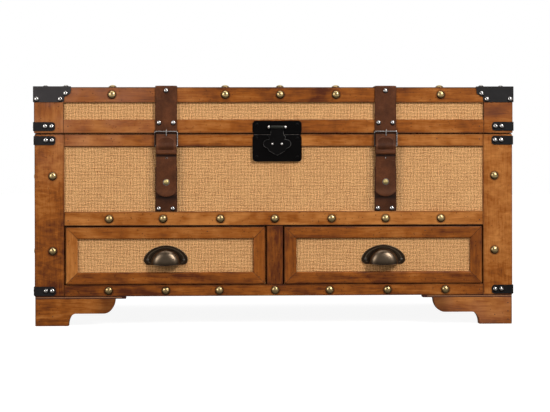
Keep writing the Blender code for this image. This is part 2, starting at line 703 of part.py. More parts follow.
def build_tail(word, x):
    """Tail of a strap, which lifts with the chape, its keeper fold and the snap cap."""
    half = TAIL_WIDTH / 2
    tip = MID_HIGH + TAIL_TIP_RISE
    round_tip = ellipse_arc((x, tip + TAIL_ROUND), (half, TAIL_ROUND), 180, 360, 10)
    outline = [Vector((x - half, STRAP_FOLD))] + round_tip + [Vector((x + half, STRAP_FOLD))]
    tail = flat_piece(f"strap_tail_{word}", [outline], "front", LEATHER_FRONT, FRONT_Y - FIT, LEATHER_BROWN)

    chape_high = BODY_HIGH + CHAPE_HIGH
    chape_low = chape_high - CHAPE_LENGTH
    sunk = LEATHER_FRONT + LEATHER / 2
    front = LEATHER_FRONT - CHAPE_THICK
    ridge_y, ridge_z = buckle_bar()
    ridge = WIRE_RADIUS + PLAY + CHAPE_THICK / 2
    bump = ellipse_arc((ridge_y, ridge_z), (ridge, ridge), 250, 110, 6)
    profile = [(sunk, chape_high), (sunk, chape_low), (front, chape_low)]
    profile += [(y, z) for y, z in bump if y < front] + [(front, chape_high)]
    chape = flat_piece(tail.name + "_chape", [profile], "side", x - CHAPE_WIDTH / 2, x + CHAPE_WIDTH / 2)
    fuse(tail, chape)
    cut(tail, round_bar(tail.name + "_bar_hole", (x - STRAP_WIDTH, ridge_y, ridge_z),
                        (x + STRAP_WIDTH, ridge_y, ridge_z), WIRE_RADIUS + PLAY, sides=12))
    fuse(tail, domes(tail.name + "_snap", [(x, LEATHER_FRONT, MID_HIGH + SNAP_RISE)], (0, -1, 0),
                     SNAP_RADIUS, SNAP_HEIGHT, sides=14))


def buckle_bar():
    """Where the buckle's lower bar runs: its y and z."""
    return LEATHER_FRONT - WIRE_RADIUS - PLAY - FIT, BODY_HIGH + BUCKLE_HIGH - BUCKLE_LENGTH + WIRE_RADIUS


def build_buckle(word, x):
    """Wire buckle: a frame round the chape, with the prong resting over its top bar."""
    bar_y, low = buckle_bar()
    high = BODY_HIGH + BUCKLE_HIGH - WIRE_RADIUS
    ring = wire_ring(f"buckle_{word}", BUCKLE_WIDTH / 2 - WIRE_RADIUS, low, high, (x, bar_y, 0),
                     WIRE_RADIUS, NICKEL)
    prong_y = LEATHER_FRONT - CHAPE_THICK - FIT - PRONG_RADIUS
    tip = high + WIRE_RADIUS + PRONG_TIP
    fuse(ring, round_bar(ring.name + "_prong", (x, prong_y, tip - PRONG_LENGTH), (x, prong_y, tip),
                         PRONG_RADIUS, sides=8))


def build_latch():
    """Latch plates, the rod with its ball ends and the hasp that hangs on it."""
    half = LATCH_WIDTH / 2
    left, right = LATCH_X - half, LATCH_X + half
    face, front = FRONT_Y - FIT, FRONT_Y - FIT - LATCH_PLATE
    low = LID_LOW - LATCH_LID_OVERHANG
    high = low + LATCH_LID_HEIGHT
    outline = rounded([(left, low), (right, low), (right, high, LATCH_CORNER), (left, high, LATCH_CORNER)])
    lid_plate = flat_piece("latch_lid_plate", [outline], "front", front, face, IRON_BLACK)
    barrel = HASP_NECK / 2
    ear_start, ear_end = barrel + FIT, barrel + FIT + EAR_WIDTH
    for word, side in SIDES.items():
        ear_low, ear_high = span(LATCH_X + side * ear_start, LATCH_X + side * ear_end)
        fuse(lid_plate,
             block(f"latch_ear_{word}", (ear_low, ROD_Y - BALL_RADIUS, ROD_Z - BALL_RADIUS),
                   (ear_high, face - LATCH_PLATE / 2, ROD_Z + BALL_RADIUS)),
             ball(f"latch_ball_{word}", (LATCH_X + side * (ear_end + BALL_RADIUS / 2), ROD_Y, ROD_Z),
                  BALL_RADIUS))
    fuse(lid_plate, round_bar("latch_rod", (LATCH_X - ear_end, ROD_Y, ROD_Z),
                              (LATCH_X + ear_end, ROD_Y, ROD_Z), ROD_RADIUS, sides=12))

    body_high = BODY_HIGH - FIT
    body_low = body_high - LATCH_BODY_HEIGHT
    outline = rounded([(left, body_low, LATCH_CORNER), (right, body_low, LATCH_CORNER),
                       (right, body_high), (left, body_high)])
    body_plate = flat_piece("latch_body_plate", [outline], "front", front, face, IRON_BLACK)
    backing = rounded([(left, body_low, LATCH_CORNER), (right, body_low, LATCH_CORNER),
                       (right, PANEL_HIGH - FIT), (left, PANEL_HIGH - FIT)])
    fuse(body_plate, flat_piece("latch_backing", [backing], "front", face - LATCH_PLATE / 2,
                                FRONT_Y + SLAT_THICK - FIT))
    build_hasp(barrel)


def hasp_outline(barrel):
    """Shield of the hasp below the rod: (from its middle, down), right half then left half."""
    half = HASP_WIDTH / 2
    lobe_top = HASP_WIDEST - HASP_LOBE
    lobe = ellipse_arc((half - HASP_LOBE, HASP_WIDEST), (HASP_LOBE, HASP_LOBE), -95, 80, 9)
    bead = [(barrel, 0), (barrel, 0.62 * lobe_top), (1.32 * barrel, 0.79 * lobe_top),
            (1.18 * barrel, 0.95 * lobe_top)]
    lower = [(1.27 * barrel, 0.85 * HASP_LENGTH), (0.83 * barrel, 0.91 * HASP_LENGTH),
             (0.36 * barrel, 0.965 * HASP_LENGTH), (0.08 * barrel, HASP_LENGTH)]
    right = [Vector(point) for point in bead] + lobe + [Vector(point) for point in lower]
    return right + [Vector((-u, v)) for u, v in reversed(right)]


def build_hasp(barrel):
    """Hasp: a barrel round the rod, a shield that hangs from it and two studs."""
    back = ROD_Y + BARREL_RADIUS
    outline = [(LATCH_X + u, ROD_Z - v) for u, v in hasp_outline(barrel)]
    hasp = flat_piece("hasp", [outline], "front", back - HASP_THICK, back, IRON_BLACK)
    stud_z = ROD_Z - HASP_WIDEST - 0.001
    studs = [(LATCH_X + side * STUD_SPACING / 2, back - HASP_THICK, stud_z) for side in (-1, 1)]
    fuse(hasp,
         round_bar("hasp_barrel", (LATCH_X - barrel, ROD_Y, ROD_Z), (LATCH_X + barrel, ROD_Y, ROD_Z),
                   BARREL_RADIUS),
         domes("hasp_studs", studs, (0, -1, 0), STUD_RADIUS, STUD_RADIUS * 0.7))
    cut(hasp, round_bar("hasp_bore", (LATCH_X - STRAP_WIDTH, ROD_Y, ROD_Z),
                        (LATCH_X + STRAP_WIDTH, ROD_Y, ROD_Z), ROD_RADIUS + PLAY))


def knuckle_outline(up):
    """Section of a knuckle and the tongue that joins it to its leaf: (y, z)."""
    face, back = BACK_Y + FIT, BACK_Y + FIT + LEAF_THICK
    tongue = KNUCKLE_RADIUS + LEAF_HEIGHT / 4
    inset = LEAF_THICK / 5
    meets = math.degrees(math.acos((back - HINGE_Y) / KNUCKLE_RADIUS))
    curl = ellipse_arc((0, 0), (KNUCKLE_RADIUS, KNUCKLE_RADIUS), 180, 360 + meets, 14)
    outline = [Vector((face + inset - HINGE_Y, tongue))] + curl
    outline.append(Vector((back - inset - HINGE_Y, tongue)))
    return [(HINGE_Y + y, HINGE_Z + up * z) for y, z in outline]


def build_hinges():
    """Two butt hinges behind the seam. The pin is fixed in the body's leaf."""
    step = HINGE_WIDTH / KNUCKLES
    near, far = KNUCKLE_RADIUS + 2 * FIT, KNUCKLE_RADIUS + LEAF_HEIGHT
    for word, side in SIDES.items():
        start = side * HINGE_X - HINGE_WIDTH / 2
        for owner, up, own in (("body", -1, 0), ("lid", 1, 1)):
            low, high = span(HINGE_Z + up * near, HINGE_Z + up * far)
            leaf = block(f"hinge_{owner}_leaf_{word}", (start, BACK_Y + FIT, low),
                         (start + HINGE_WIDTH, BACK_Y + FIT + LEAF_THICK, high), BRASS)
            for index in range(own, KNUCKLES, 2):
                low = start + index * step + FIT
                high = start + (index + 1) * step - FIT
                fuse(leaf, flat_piece(f"{leaf.name}_knuckle_{index}", [knuckle_outline(up)], "side",
                                      low, high))
            ends = ((start + 2 * FIT, HINGE_Y, HINGE_Z), (start + HINGE_WIDTH - 2 * FIT, HINGE_Y, HINGE_Z))
            if owner == "body":
                fuse(leaf, round_bar(leaf.name + "_pin", *ends, PIN_RADIUS))
            else:
                cut(leaf, round_bar(leaf.name + "_bore", *ends, PIN_RADIUS + PLAY))


def capsule(start, end, half_width):
    """Outline of a flat bar with round ends, between two points."""
    start, end = Vector(start), Vector(end)
    along = (end - start).normalized()
    angle = math.degrees(math.atan2(along.y, along.x))
    return (ellipse_arc(end, (half_width, half_width), angle - 90, angle + 90, 8)
            + ellipse_arc(start, (half_width, half_width), angle + 90, angle + 270, 8))


def build_stay():
    """Folding lid stay on the left wall. With the hinge line its pivots make a rhombus."""
    side = SIDES["left"]
    lid_pivot = Vector((HINGE_Y - STAY_REACH, HINGE_Z + STAY_DROP))
    body_pivot = Vector((HINGE_Y - STAY_REACH, HINGE_Z - STAY_DROP))
    elbow = Vector((HINGE_Y - 2 * STAY_REACH, HINGE_Z))
    upper_face = INNER_X - STAY_OFF
    lower_face = upper_face - STAY_THICK - STAY_SPACE
    layers = {"stay_upper_arm": (upper_face, lid_pivot, SHELL_X - LID_WALL - FIT),
              "stay_lower_arm": (lower_face, body_pivot, INNER_X - FIT)}
    for name, (face, pivot, wall) in layers.items():
        low, high = span(side * face, side * (face - STAY_THICK))
        arm = flat_piece(name, [capsule(pivot, elbow, STAY_WIDTH / 2)], "side", low, high, IRON_BLACK)
        fuse(arm, round_bar(name + "_pivot", (side * wall, *pivot),
                            (side * (face - STAY_THICK / 2), *pivot), RIVET_RADIUS))
        if name == "stay_upper_arm":
            cut(arm, round_bar("stay_elbow_hole", (side * HALF, *elbow), (0, *elbow),
                               RIVET_RADIUS + RIVET_PLAY))
        else:
            fuse(arm, round_bar("stay_elbow_rivet", (side * (upper_face - FIT), *elbow),
                                (side * (face - STAY_THICK / 2), *elbow), RIVET_RADIUS))


def build_pull(name, x, z, face):
    """Cup pull: an arched plate with ears and a quarter-round cup, open below."""
    half, ear = PULL_HALF_WIDTH, PULL_EAR
    arch = ellipse_arc((x, z), (half, PULL_ARCH), 0, 180, 14)
    left_ear = ellipse_arc((x - half + ear, z), (ear, ear), 180, 270, 4)[1:]
    right_ear = ellipse_arc((x + half - ear, z), (ear, ear), 270, 360, 4)[:-1]
    pull = flat_piece(name, [arch + left_ear + right_ear], "front", face - PULL_PLATE, face, BRONZE)

    bm = bmesh.new()
    bmesh.ops.create_uvsphere(bm, u_segments=20, v_segments=12, radius=1.0)
    bmesh.ops.rotate(bm, cent=(0, 0, 0), matrix=Matrix.Rotation(math.radians(90), 3, "Y"), verts=bm.verts)
    spare = [vert for vert in bm.verts if vert.co.y > 0.001 or vert.co.z < -0.001]
    bmesh.ops.delete(bm, geom=spare, context="VERTS")
    bmesh.ops.scale(bm, vec=(CUP_HALF_WIDTH, CUP_REACH + PULL_PLATE / 2, CUP_HEIGHT), verts=bm.verts)
    cup = add_object(name + "_cup", mesh_from(bm, name + "_cup"), None,
                     (x, face - PULL_PLATE / 2, z - CUP_LIP_DROP))
    wall = cup.modifiers.new("wall", "SOLIDIFY")
    wall.thickness = CUP_WALL
    wall.offset = -1.0
    fuse(pull, cup)
    return pull


def build_drawers():
    """Two drawers: a box with its burlap front, a mitred moulding and a cup pull."""
    face = FRONT_Y - MOULD_PROUD + MOULD_THICK
    front_low, front_high = OPENING_LOW + DRAWER_HIGH_GAP, OPENING_HIGH - DRAWER_HIGH_GAP
    half = (STILE_X - MUNTIN_WIDTH / 2) / 2 - DRAWER_SIDE_GAP
    for word, side in SIDES.items():
        x = side * (STILE_X + MUNTIN_WIDTH / 2) / 2
        walls = half - BOX_INSET
        inside = walls - DRAWER_BOARD
        back = face + DRAWER_LENGTH
        box_low, box_high = OPENING_LOW + FIT, front_high - DRAWER_WALL_DROP
        box = block(f"drawer_box_{word}", (x - half, face, front_low),
                    (x + half, face + DRAWER_FRONT, front_high), BURLAP)
        fuse(box, block(box.name + "_walls", (x - walls, face + DRAWER_FRONT / 2, box_low),
                        (x + walls, back, box_high)))
        cut(box, block(box.name + "_hollow", (x - inside, face + DRAWER_FRONT, box_low + DRAWER_BOTTOM),
                       (x + inside, back - DRAWER_BOARD, front_high + DRAWER_FRONT)))

        rim = [(x - half, front_low), (x + half, front_low), (x + half, front_high), (x - half, front_high)]
        inner_x, inner_low, inner_high = half - MOULD_WIDTH, front_low + MOULD_WIDTH, front_high - MOULD_WIDTH
        window = [(x - inner_x, inner_low), (x + inner_x, inner_low), (x + inner_x, inner_high),
                  (x - inner_x, inner_high)]
        moulding = flat_piece(f"drawer_moulding_{word}", [rim, window], "front",
                              face - FIT - MOULD_THICK, face - FIT, WOOD)
        bevel(moulding, MOULD_ROUND, 2)
        build_pull(f"drawer_pull_{word}", x, (front_low + front_high) / 2 - PULL_DROP, face - FIT)


def axis_empty(name, place, parent=None):
    """An empty on a joint's axis, which its moving pieces hang from."""
    empty = bpy.data.objects.new(name, None)
    empty.empty_display_size = 0.03
    empty.location = place
    CHEST.objects.link(empty)
    if parent is not None:
        bpy.context.view_layer.update()
        hang(empty, parent)
    return empty


def hang(obj, parent):
    obj.parent = parent
    obj.matrix_parent_inverse = parent.matrix_world.inverted()


def hang_moving_pieces():
    """Parent every moving piece to the empty on its joint's axis."""
    lid = axis_empty("lid_axis", (0, HINGE_Y, HINGE_Z))
    hasp = axis_empty("hasp_axis", (LATCH_X, ROD_Y, ROD_Z), lid)
    upper = axis_empty("stay_upper_axis", (-INNER_X, HINGE_Y - STAY_REACH, HINGE_Z + STAY_DROP), lid)
    lower = axis_empty("stay_lower_axis", (-INNER_X, HINGE_Y - STAY_REACH, HINGE_Z - STAY_DROP))
    owners = {"hasp": hasp, "stay_upper_arm": upper, "stay_lower_arm": lower, "latch_lid_plate": lid}
    for word, side in SIDES.items():
        tail = axis_empty(f"strap_tail_axis_{word}", (STRAP_X[word], LEATHER_FRONT, STRAP_FOLD), lid)
        drawer = axis_empty(f"drawer_axis_{word}", (side * (STILE_X + MUNTIN_WIDTH / 2) / 2, FRONT_Y,
                                                    OPENING_LOW))
        owners[f"strap_tail_{word}"] = tail
        owners[f"buckle_{word}"] = tail
        owners[f"hinge_lid_leaf_{word}"] = lid
        for piece in ("box", "moulding", "pull"):
            owners[f"drawer_{piece}_{word}"] = drawer
    bpy.context.view_layer.update()
    for obj in CHEST.objects:
        if obj.type != "MESH":
            continue
        owner = owners.get(obj.name) or (lid if obj.name.startswith("lid_") else None)
        if owner is not None:
            hang(obj, owner)


def smooth_round_pieces():
    """Round pieces are shaded smooth between their sharp edges."""
    for obj in CHEST.objects:
        if obj.type == "MESH":
            obj.data.shade_smooth()
            obj.data.set_sharp_from_angle(angle=math.radians(35))


def main():
    build_posts()
    build_front()
    build_walls()
    build_inside()
    build_feet()
    build_lid()
    build_lid_corners()
    build_bands()
    build_straps()
    build_latch()
    build_hinges()
    build_stay()
    build_drawers()
    hang_moving_pieces()
    smooth_round_pieces()


clear_scene()
CHEST = collection("storage_chest")
HELPERS = collection("cutters")
WOOD = finish("stained_wood", (0.36, 0.13, 0.035), 0.38)
PLAIN = finish("plain_board", (0.45, 0.27, 0.13), 0.6)
BURLAP = finish("burlap_board", (0.62, 0.38, 0.18), 0.9)
LEATHER_BROWN = finish("brown_leather", (0.075, 0.026, 0.016), 0.5)
IRON_BLACK = finish("black_iron", (0.012, 0.011, 0.012), 0.4, 0.6)
BRONZE = finish("dark_bronze", (0.07, 0.055, 0.045), 0.35, 0.9)
BRASS = finish("antique_brass", (0.42, 0.30, 0.12), 0.35, 1.0)
NICKEL = finish("nickel", (0.55, 0.53, 0.5), 0.3, 1.0)
main()
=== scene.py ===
"""Looks of the storage chest: stained wood, burlap, leather straps and small metalwork.

Metres, +Z up, the front towards -Y. Left and right are as seen from the front.
"""
import math

import bmesh
import bpy
import numpy as np
from mathutils import Euler, Matrix, Vector


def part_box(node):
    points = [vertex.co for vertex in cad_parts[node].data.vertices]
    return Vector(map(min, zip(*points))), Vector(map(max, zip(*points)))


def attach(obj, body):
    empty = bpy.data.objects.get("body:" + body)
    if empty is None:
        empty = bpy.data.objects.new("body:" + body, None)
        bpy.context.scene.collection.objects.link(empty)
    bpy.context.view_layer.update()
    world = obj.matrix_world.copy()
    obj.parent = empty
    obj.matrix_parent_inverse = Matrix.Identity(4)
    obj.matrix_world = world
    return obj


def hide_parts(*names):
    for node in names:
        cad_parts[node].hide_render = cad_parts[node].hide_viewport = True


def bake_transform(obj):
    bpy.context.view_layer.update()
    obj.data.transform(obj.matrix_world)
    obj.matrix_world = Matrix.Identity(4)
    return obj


bl_info = {
    "name": "Storage chest",
    "version": (1, 0, 0),
    "blender": (4, 5, 0),
    "location": "View3D > Sidebar > Chest",
    "description": "Dresses the storage chest: wood, burlap, leather straps, nails, latch and pulls",
    "category": "Add Mesh",
}

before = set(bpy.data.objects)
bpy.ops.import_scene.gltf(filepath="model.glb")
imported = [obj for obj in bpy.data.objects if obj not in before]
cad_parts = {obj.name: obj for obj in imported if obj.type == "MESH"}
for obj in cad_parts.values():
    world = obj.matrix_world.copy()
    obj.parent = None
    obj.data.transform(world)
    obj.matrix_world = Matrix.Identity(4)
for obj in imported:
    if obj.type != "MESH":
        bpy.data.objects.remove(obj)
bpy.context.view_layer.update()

# Sizes of the solids that the looks follow
FIT = 0.0003                 # gap between pieces that touch
HALF = 0.457                 # half the body's width
LID_HALF = 0.458
STILE = 0.056                # width of the posts and of the lid's stiles
SLAT = 0.0045                # how far the rails stand out from the burlap
NAIL_INSET = 0.0345          # nails of the posts, from the outer corner
NAIL_DROP = 0.0145           # nails of the lid, from its top or its front
LAST_NAIL = 0.3165           # outer nails of a rail, from its middle
SEAM = 0.0007                # half the width of a dark seam between two boards
HASP_NECK = 0.0125           # half the width of the hasp's neck and barrel

# Places on the chest, from the solids
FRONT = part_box("front_top_rail")[0].y
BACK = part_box("hinge_body_leaf_left")[0].y - FIT
BODY_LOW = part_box("front_bottom_rail")[0].z
PANEL_HIGH, BODY_HIGH = (corner.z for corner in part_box("front_top_rail"))
MID_LOW, MID_HIGH = (corner.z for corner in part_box("front_mid_rail"))
MID_RAIL = (MID_LOW + MID_HIGH) / 2
LID_LOW, LID_HIGH = (corner.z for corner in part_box("lid_front_frame"))
LID_RAIL_HIGH = LID_LOW + 0.0254
LID_PANEL_HIGH = LID_HIGH - 0.0290
LID_STILE = LID_HALF - STILE
POST_NAILS = (BODY_LOW + 0.0862, BODY_LOW + 0.2290)
SNAP = MID_HIGH + 0.0565
SIDES = {"left": -1, "right": 1}
STRAP_X = {word: sum(corner.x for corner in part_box(f"strap_tail_{word}")) / 2 for word in SIDES}
LATCH_X = sum(corner.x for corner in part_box("hasp")) / 2
FORWARD, BACKWARD, UPWARD = (0, -1, 0), (0, 1, 0), (0, 0, 1)

# Colours that several finishes share
# Near-black painted shade, laid on the edges beside the gaps over and under the drawers
GAP_SHADE_BLACK = (0.004, 0.001, 0.001)
# Painted shadow beside the straps, where the buckles' side bars stand off them
STRAP_GAP_SHADE = (0.012, 0.004, 0.002)
# Dark ring round the dome nails: old polish and painted contact shadow
POLISH_AND_SHADE = (0.07, 0.018, 0.004)


def rail_nails(wander):
    """Places of the dome nails along a front rail, as on the solids: None leaves one out."""
    pitch = 2 * LAST_NAIL / (len(wander) - 1)
    return [-LAST_NAIL + pitch * index + off for index, off in enumerate(wander) if off is not None]


LID_NAILS = rail_nails((0.0066, None, 0.0112, 0.0107, 0.0123, None, 0.0025))
MID_NAILS = rail_nails((0.0009, -0.0023, 0.0016, 0.0, 0.0034, 0.0015, 0.0025))
BOTTOM_NAILS = rail_nails((-0.0003, 0.0028, -0.0006, 0.0006, -0.0004, 0.0050, 0.0110))


def a_length(name, description, default, low, high):
    """A length that can be set in the panel."""
    return bpy.props.FloatProperty(name=name, description=description, default=default,
                                   min=low, max=high, unit="LENGTH")


def a_colour(name, description, default):
    """A colour that can be set in the panel."""
    return bpy.props.FloatVectorProperty(name=name, description=description, default=default,
                                         subtype="COLOR", size=3)


class ChestSizes(bpy.types.PropertyGroup):
    """Sizes of the small pieces."""

    nail_radius: a_length("Dome nail radius", "Radius of the brass dome nails", 0.0079, 0.004, 0.012)
    nail_rise: a_length("Dome nail rise", "How far the brass domes stand out", 0.0048, 0.002, 0.008)
    tack_radius: a_length("Tack radius", "Radius of the small silver nails", 0.0051, 0.002, 0.007)
    leather: a_length("Leather thickness", "Thickness of the straps", 0.0026, 0.0015, 0.004)
    thread: a_length("Thread pitch", "From one burlap thread to the next", 0.00275, 0.0008, 0.005)


class ChestFinishes(bpy.types.PropertyGroup):
    """Colours of the finishes."""

    wood_dark: a_colour("Dark stain", "Darkest streaks of the wood", (0.085, 0.017, 0.003))
    wood_mid: a_colour("Stain", "Main colour of the wood", (0.300, 0.082, 0.008))
    wood_light: a_colour("Light stain", "Lightest streaks of the wood", (0.53, 0.198, 0.044))
    board: a_colour("Plain board", "Unstained boards inside", (0.42, 0.25, 0.12))
    burlap: a_colour("Burlap", "Threads of the burlap", (0.705, 0.343, 0.127))
    # Pale burlap is reached where the threads' crowns carry painted light
    burlap_pale: a_colour("Pale burlap", "Lightest threads of the burlap", (0.985, 0.580, 0.255))
    # The dark between the threads: partly the gaps themselves, partly painted shade
    burlap_gap: a_colour("Burlap gaps", "Between the threads", (0.240, 0.075, 0.016))
    leather: a_colour("Leather", "Straps", (0.088, 0.0265, 0.0085))
    iron: a_colour("Black iron", "Corners and bands", (0.0255, 0.0205, 0.0205))
    latch: a_colour("Black latch", "Latch plates and hasp", (0.0016, 0.0012, 0.0012))
    brass: a_colour("Antique brass", "Dome nails, snaps and hinges", (0.52, 0.37, 0.17))
    nickel: a_colour("Nickel", "Buckles and silver nails", (0.56, 0.53, 0.50))
    bronze: a_colour("Dark bronze", "Cup pulls", (0.160, 0.116, 0.078))


def operator(operation, swapped=False):
    """An operator of Wire, which adds a Math node. swapped puts the wire last."""
    def operate(self, *others):
        values = (*others, self) if swapped else (self, *others)
        return self.shader.add("ShaderNodeMath", {"operation": operation}, *values)
    return operate


class Wire:
    """A value on a shader wire."""

    def __init__(self, shader, socket):
        self.shader = shader
        self.socket = socket

    __add__ = __radd__ = operator("ADD")
    __sub__, __rsub__ = operator("SUBTRACT"), operator("SUBTRACT", swapped=True)
    __mul__ = __rmul__ = operator("MULTIPLY")
    __truediv__, __pow__ = operator("DIVIDE"), operator("POWER")
    __gt__, __lt__ = operator("GREATER_THAN"), operator("LESS_THAN")
    __abs__ = operator("ABSOLUTE")
    least, most = operator("MINIMUM"), operator("MAXIMUM")
    sine, floor, fract = operator("SINE"), operator("FLOOR"), operator("FRACT")

    def ramp(self, low, high):
        """0 below low and 1 above high, with a smooth turn between them."""
        return self.shader.add("ShaderNodeMapRange", {"interpolation_type": "SMOOTHSTEP"},
                               self, low, high)


class Shader:
    """The wires of one shader."""

    def __init__(self, tree):
        self.tree = tree

    def set(self, socket, value):
        """Wires or sets one socket. A colour of three numbers is made opaque."""
        if isinstance(value, Wire):
            self.tree.links.new(value.socket, socket)
        elif socket.type == "RGBA" and len(value) == 3:
            socket.default_value = (*value, 1.0)
        else:
            socket.default_value = value

    def add(self, kind, settings=None, *values, out=0, **named):
        """A node: its settings first, then the values or wires of its sockets, then one output."""
        node = self.tree.nodes.new(kind)
        for key, value in (settings or {}).items():
            if key == "stops":
                while len(node.color_ramp.elements) < len(value):
                    node.color_ramp.elements.new(0.5)
                for element, (position, colour) in zip(node.color_ramp.elements, value):
                    element.position = position
                    element.color = (*colour, 1.0)
            else:
                setattr(node, key, value)
        for socket, value in zip(node.inputs, values):
            if value is not None:
                self.set(socket, value)
        for key, value in named.items():
            self.set(node.inputs[key.replace("_", " ")], value)
        return node if out is None else Wire(self, node.outputs[out])

    def parts(self, vector):
        """The x, y and z of a vector."""
        node = self.add("ShaderNodeSeparateXYZ", {}, vector, out=None)
        return [Wire(self, part) for part in node.outputs]

    def facing(self):
        """The x, y and z of the way that a face looks."""
        return self.parts(self.add("ShaderNodeTexCoord", {}, out="Normal"))

    def attribute(self, name):
        return self.add("ShaderNodeAttribute", {"attribute_name": name}, out="Fac")

    def noise(self, scale, detail=3.0, rough=0.5, twist=0.0, stretch=(1, 1, 1), place=None,
              shift=(0, 0, 0)):
        """Noise on the place, pressed or pulled along each axis and moved by shift."""
        vector = self.add("ShaderNodeVectorMath", {"operation": "MULTIPLY_ADD"}, place or self.place,
                          tuple(stretch), tuple(shift))
        return self.add("ShaderNodeTexNoise", {}, Vector=vector, Scale=scale, Detail=detail,
                        Roughness=rough, Distortion=twist)

    def paint(self, colour, *layers):
        """Layers over a colour, each (how much of it shows, its colour)."""
        for factor, top in layers:
            colour = self.add("ShaderNodeMix", {"data_type": "RGBA", "clamp_factor": True}, factor,
                              *[None] * 5, colour, top, out=2)
        return colour

    def colours(self, value, stops):
        return self.add("ShaderNodeValToRGB", {"stops": stops}, value)

    def tints(self, value, colour, *stops):
        """A ramp of one colour. A stop is (position, how many times as bright)."""
        shades = [(position, tuple(c * times for c in colour)) for position, times in stops]
        return self.colours(value, shades)

    def seen(self, mirrored):
        """1 where the camera looks, also through clear pieces, and mirrored where shiny pieces look."""
        path = self.add("ShaderNodeLightPath", {}, out=None).outputs
        camera, through, glossy = (Wire(self, path[key]) for key in (
            "Is Camera Ray", "Is Transmission Ray", "Is Glossy Ray"))
        return (camera + through + glossy * mirrored).least(1.0)


class Finish(Shader):
    """A material of one of the chest's finishes."""

    def __init__(self, name):
        self.material = bpy.data.materials.new(name)
        self.material.use_nodes = True
        super().__init__(self.material.node_tree)
        self.surface = self.tree.nodes["Principled BSDF"]
        self.place = self.add("ShaderNodeTexCoord", {}, out="Object")
        self.axes = self.parts(self.place)
        self.x, self.y, self.z = self.axes

    def finish(self, colour, rough, metal=0.0, height=None, depth=0.001, strength=1.0, **other):
        """Wires the shader and returns the material."""
        values = {"Base Color": colour, "Roughness": rough, "Metallic": metal}
        values.update({key.replace("_", " "): value for key, value in other.items()})
        if height is not None:
            values["Normal"] = self.add("ShaderNodeBump", {}, Height=height, Distance=depth,
                                        Strength=strength)
        for key, value in values.items():
            self.set(self.surface.inputs[key], value)
        return self.material


def swing(*terms):
    """The sum of wires that run from 0 to 1, each about its middle and times its own weight."""
    total = 0.0
    for wire, weight in terms:
        total = (wire - 0.5) * weight + total
    return total


def nearest_edge(shader, low, high):
    """Distance to the nearest edge of a box: the second smallest of the three wall distances."""
    first, second, third = ((wire - start).least(end - wire)
                            for wire, start, end in zip(shader.axes, low, high))
    return first.least(second).most(first.most(second).least(third))


def wood_layers(shader, axis, seed):
    """Streaks along one axis, a broad figure and fine pores, each about 0 to 1."""
    along, broad = ([press if side == axis else 1.0 for side in range(3)] for press in (0.07, 0.30))
    shift = (seed * 0.37, seed * 0.71, seed * 0.53)
    return [shader.noise(190.0, 4.0, 0.62, 0.4, along, shift=shift),
            shader.noise(26.0, 3.0, 0.55, 1.4, broad, shift=shift),
            shader.noise(620.0, 2.0, 0.5, 0.0, along, shift=shift)]


def stain(shader, value):
    """The wood's stain: dark streaks at 0, light ones at 1."""
    looks = bpy.context.scene.chest_finishes
    return shader.colours(value, [(0.02, looks.wood_dark), (0.48, looks.wood_mid),
                                  (0.98, looks.wood_light)])


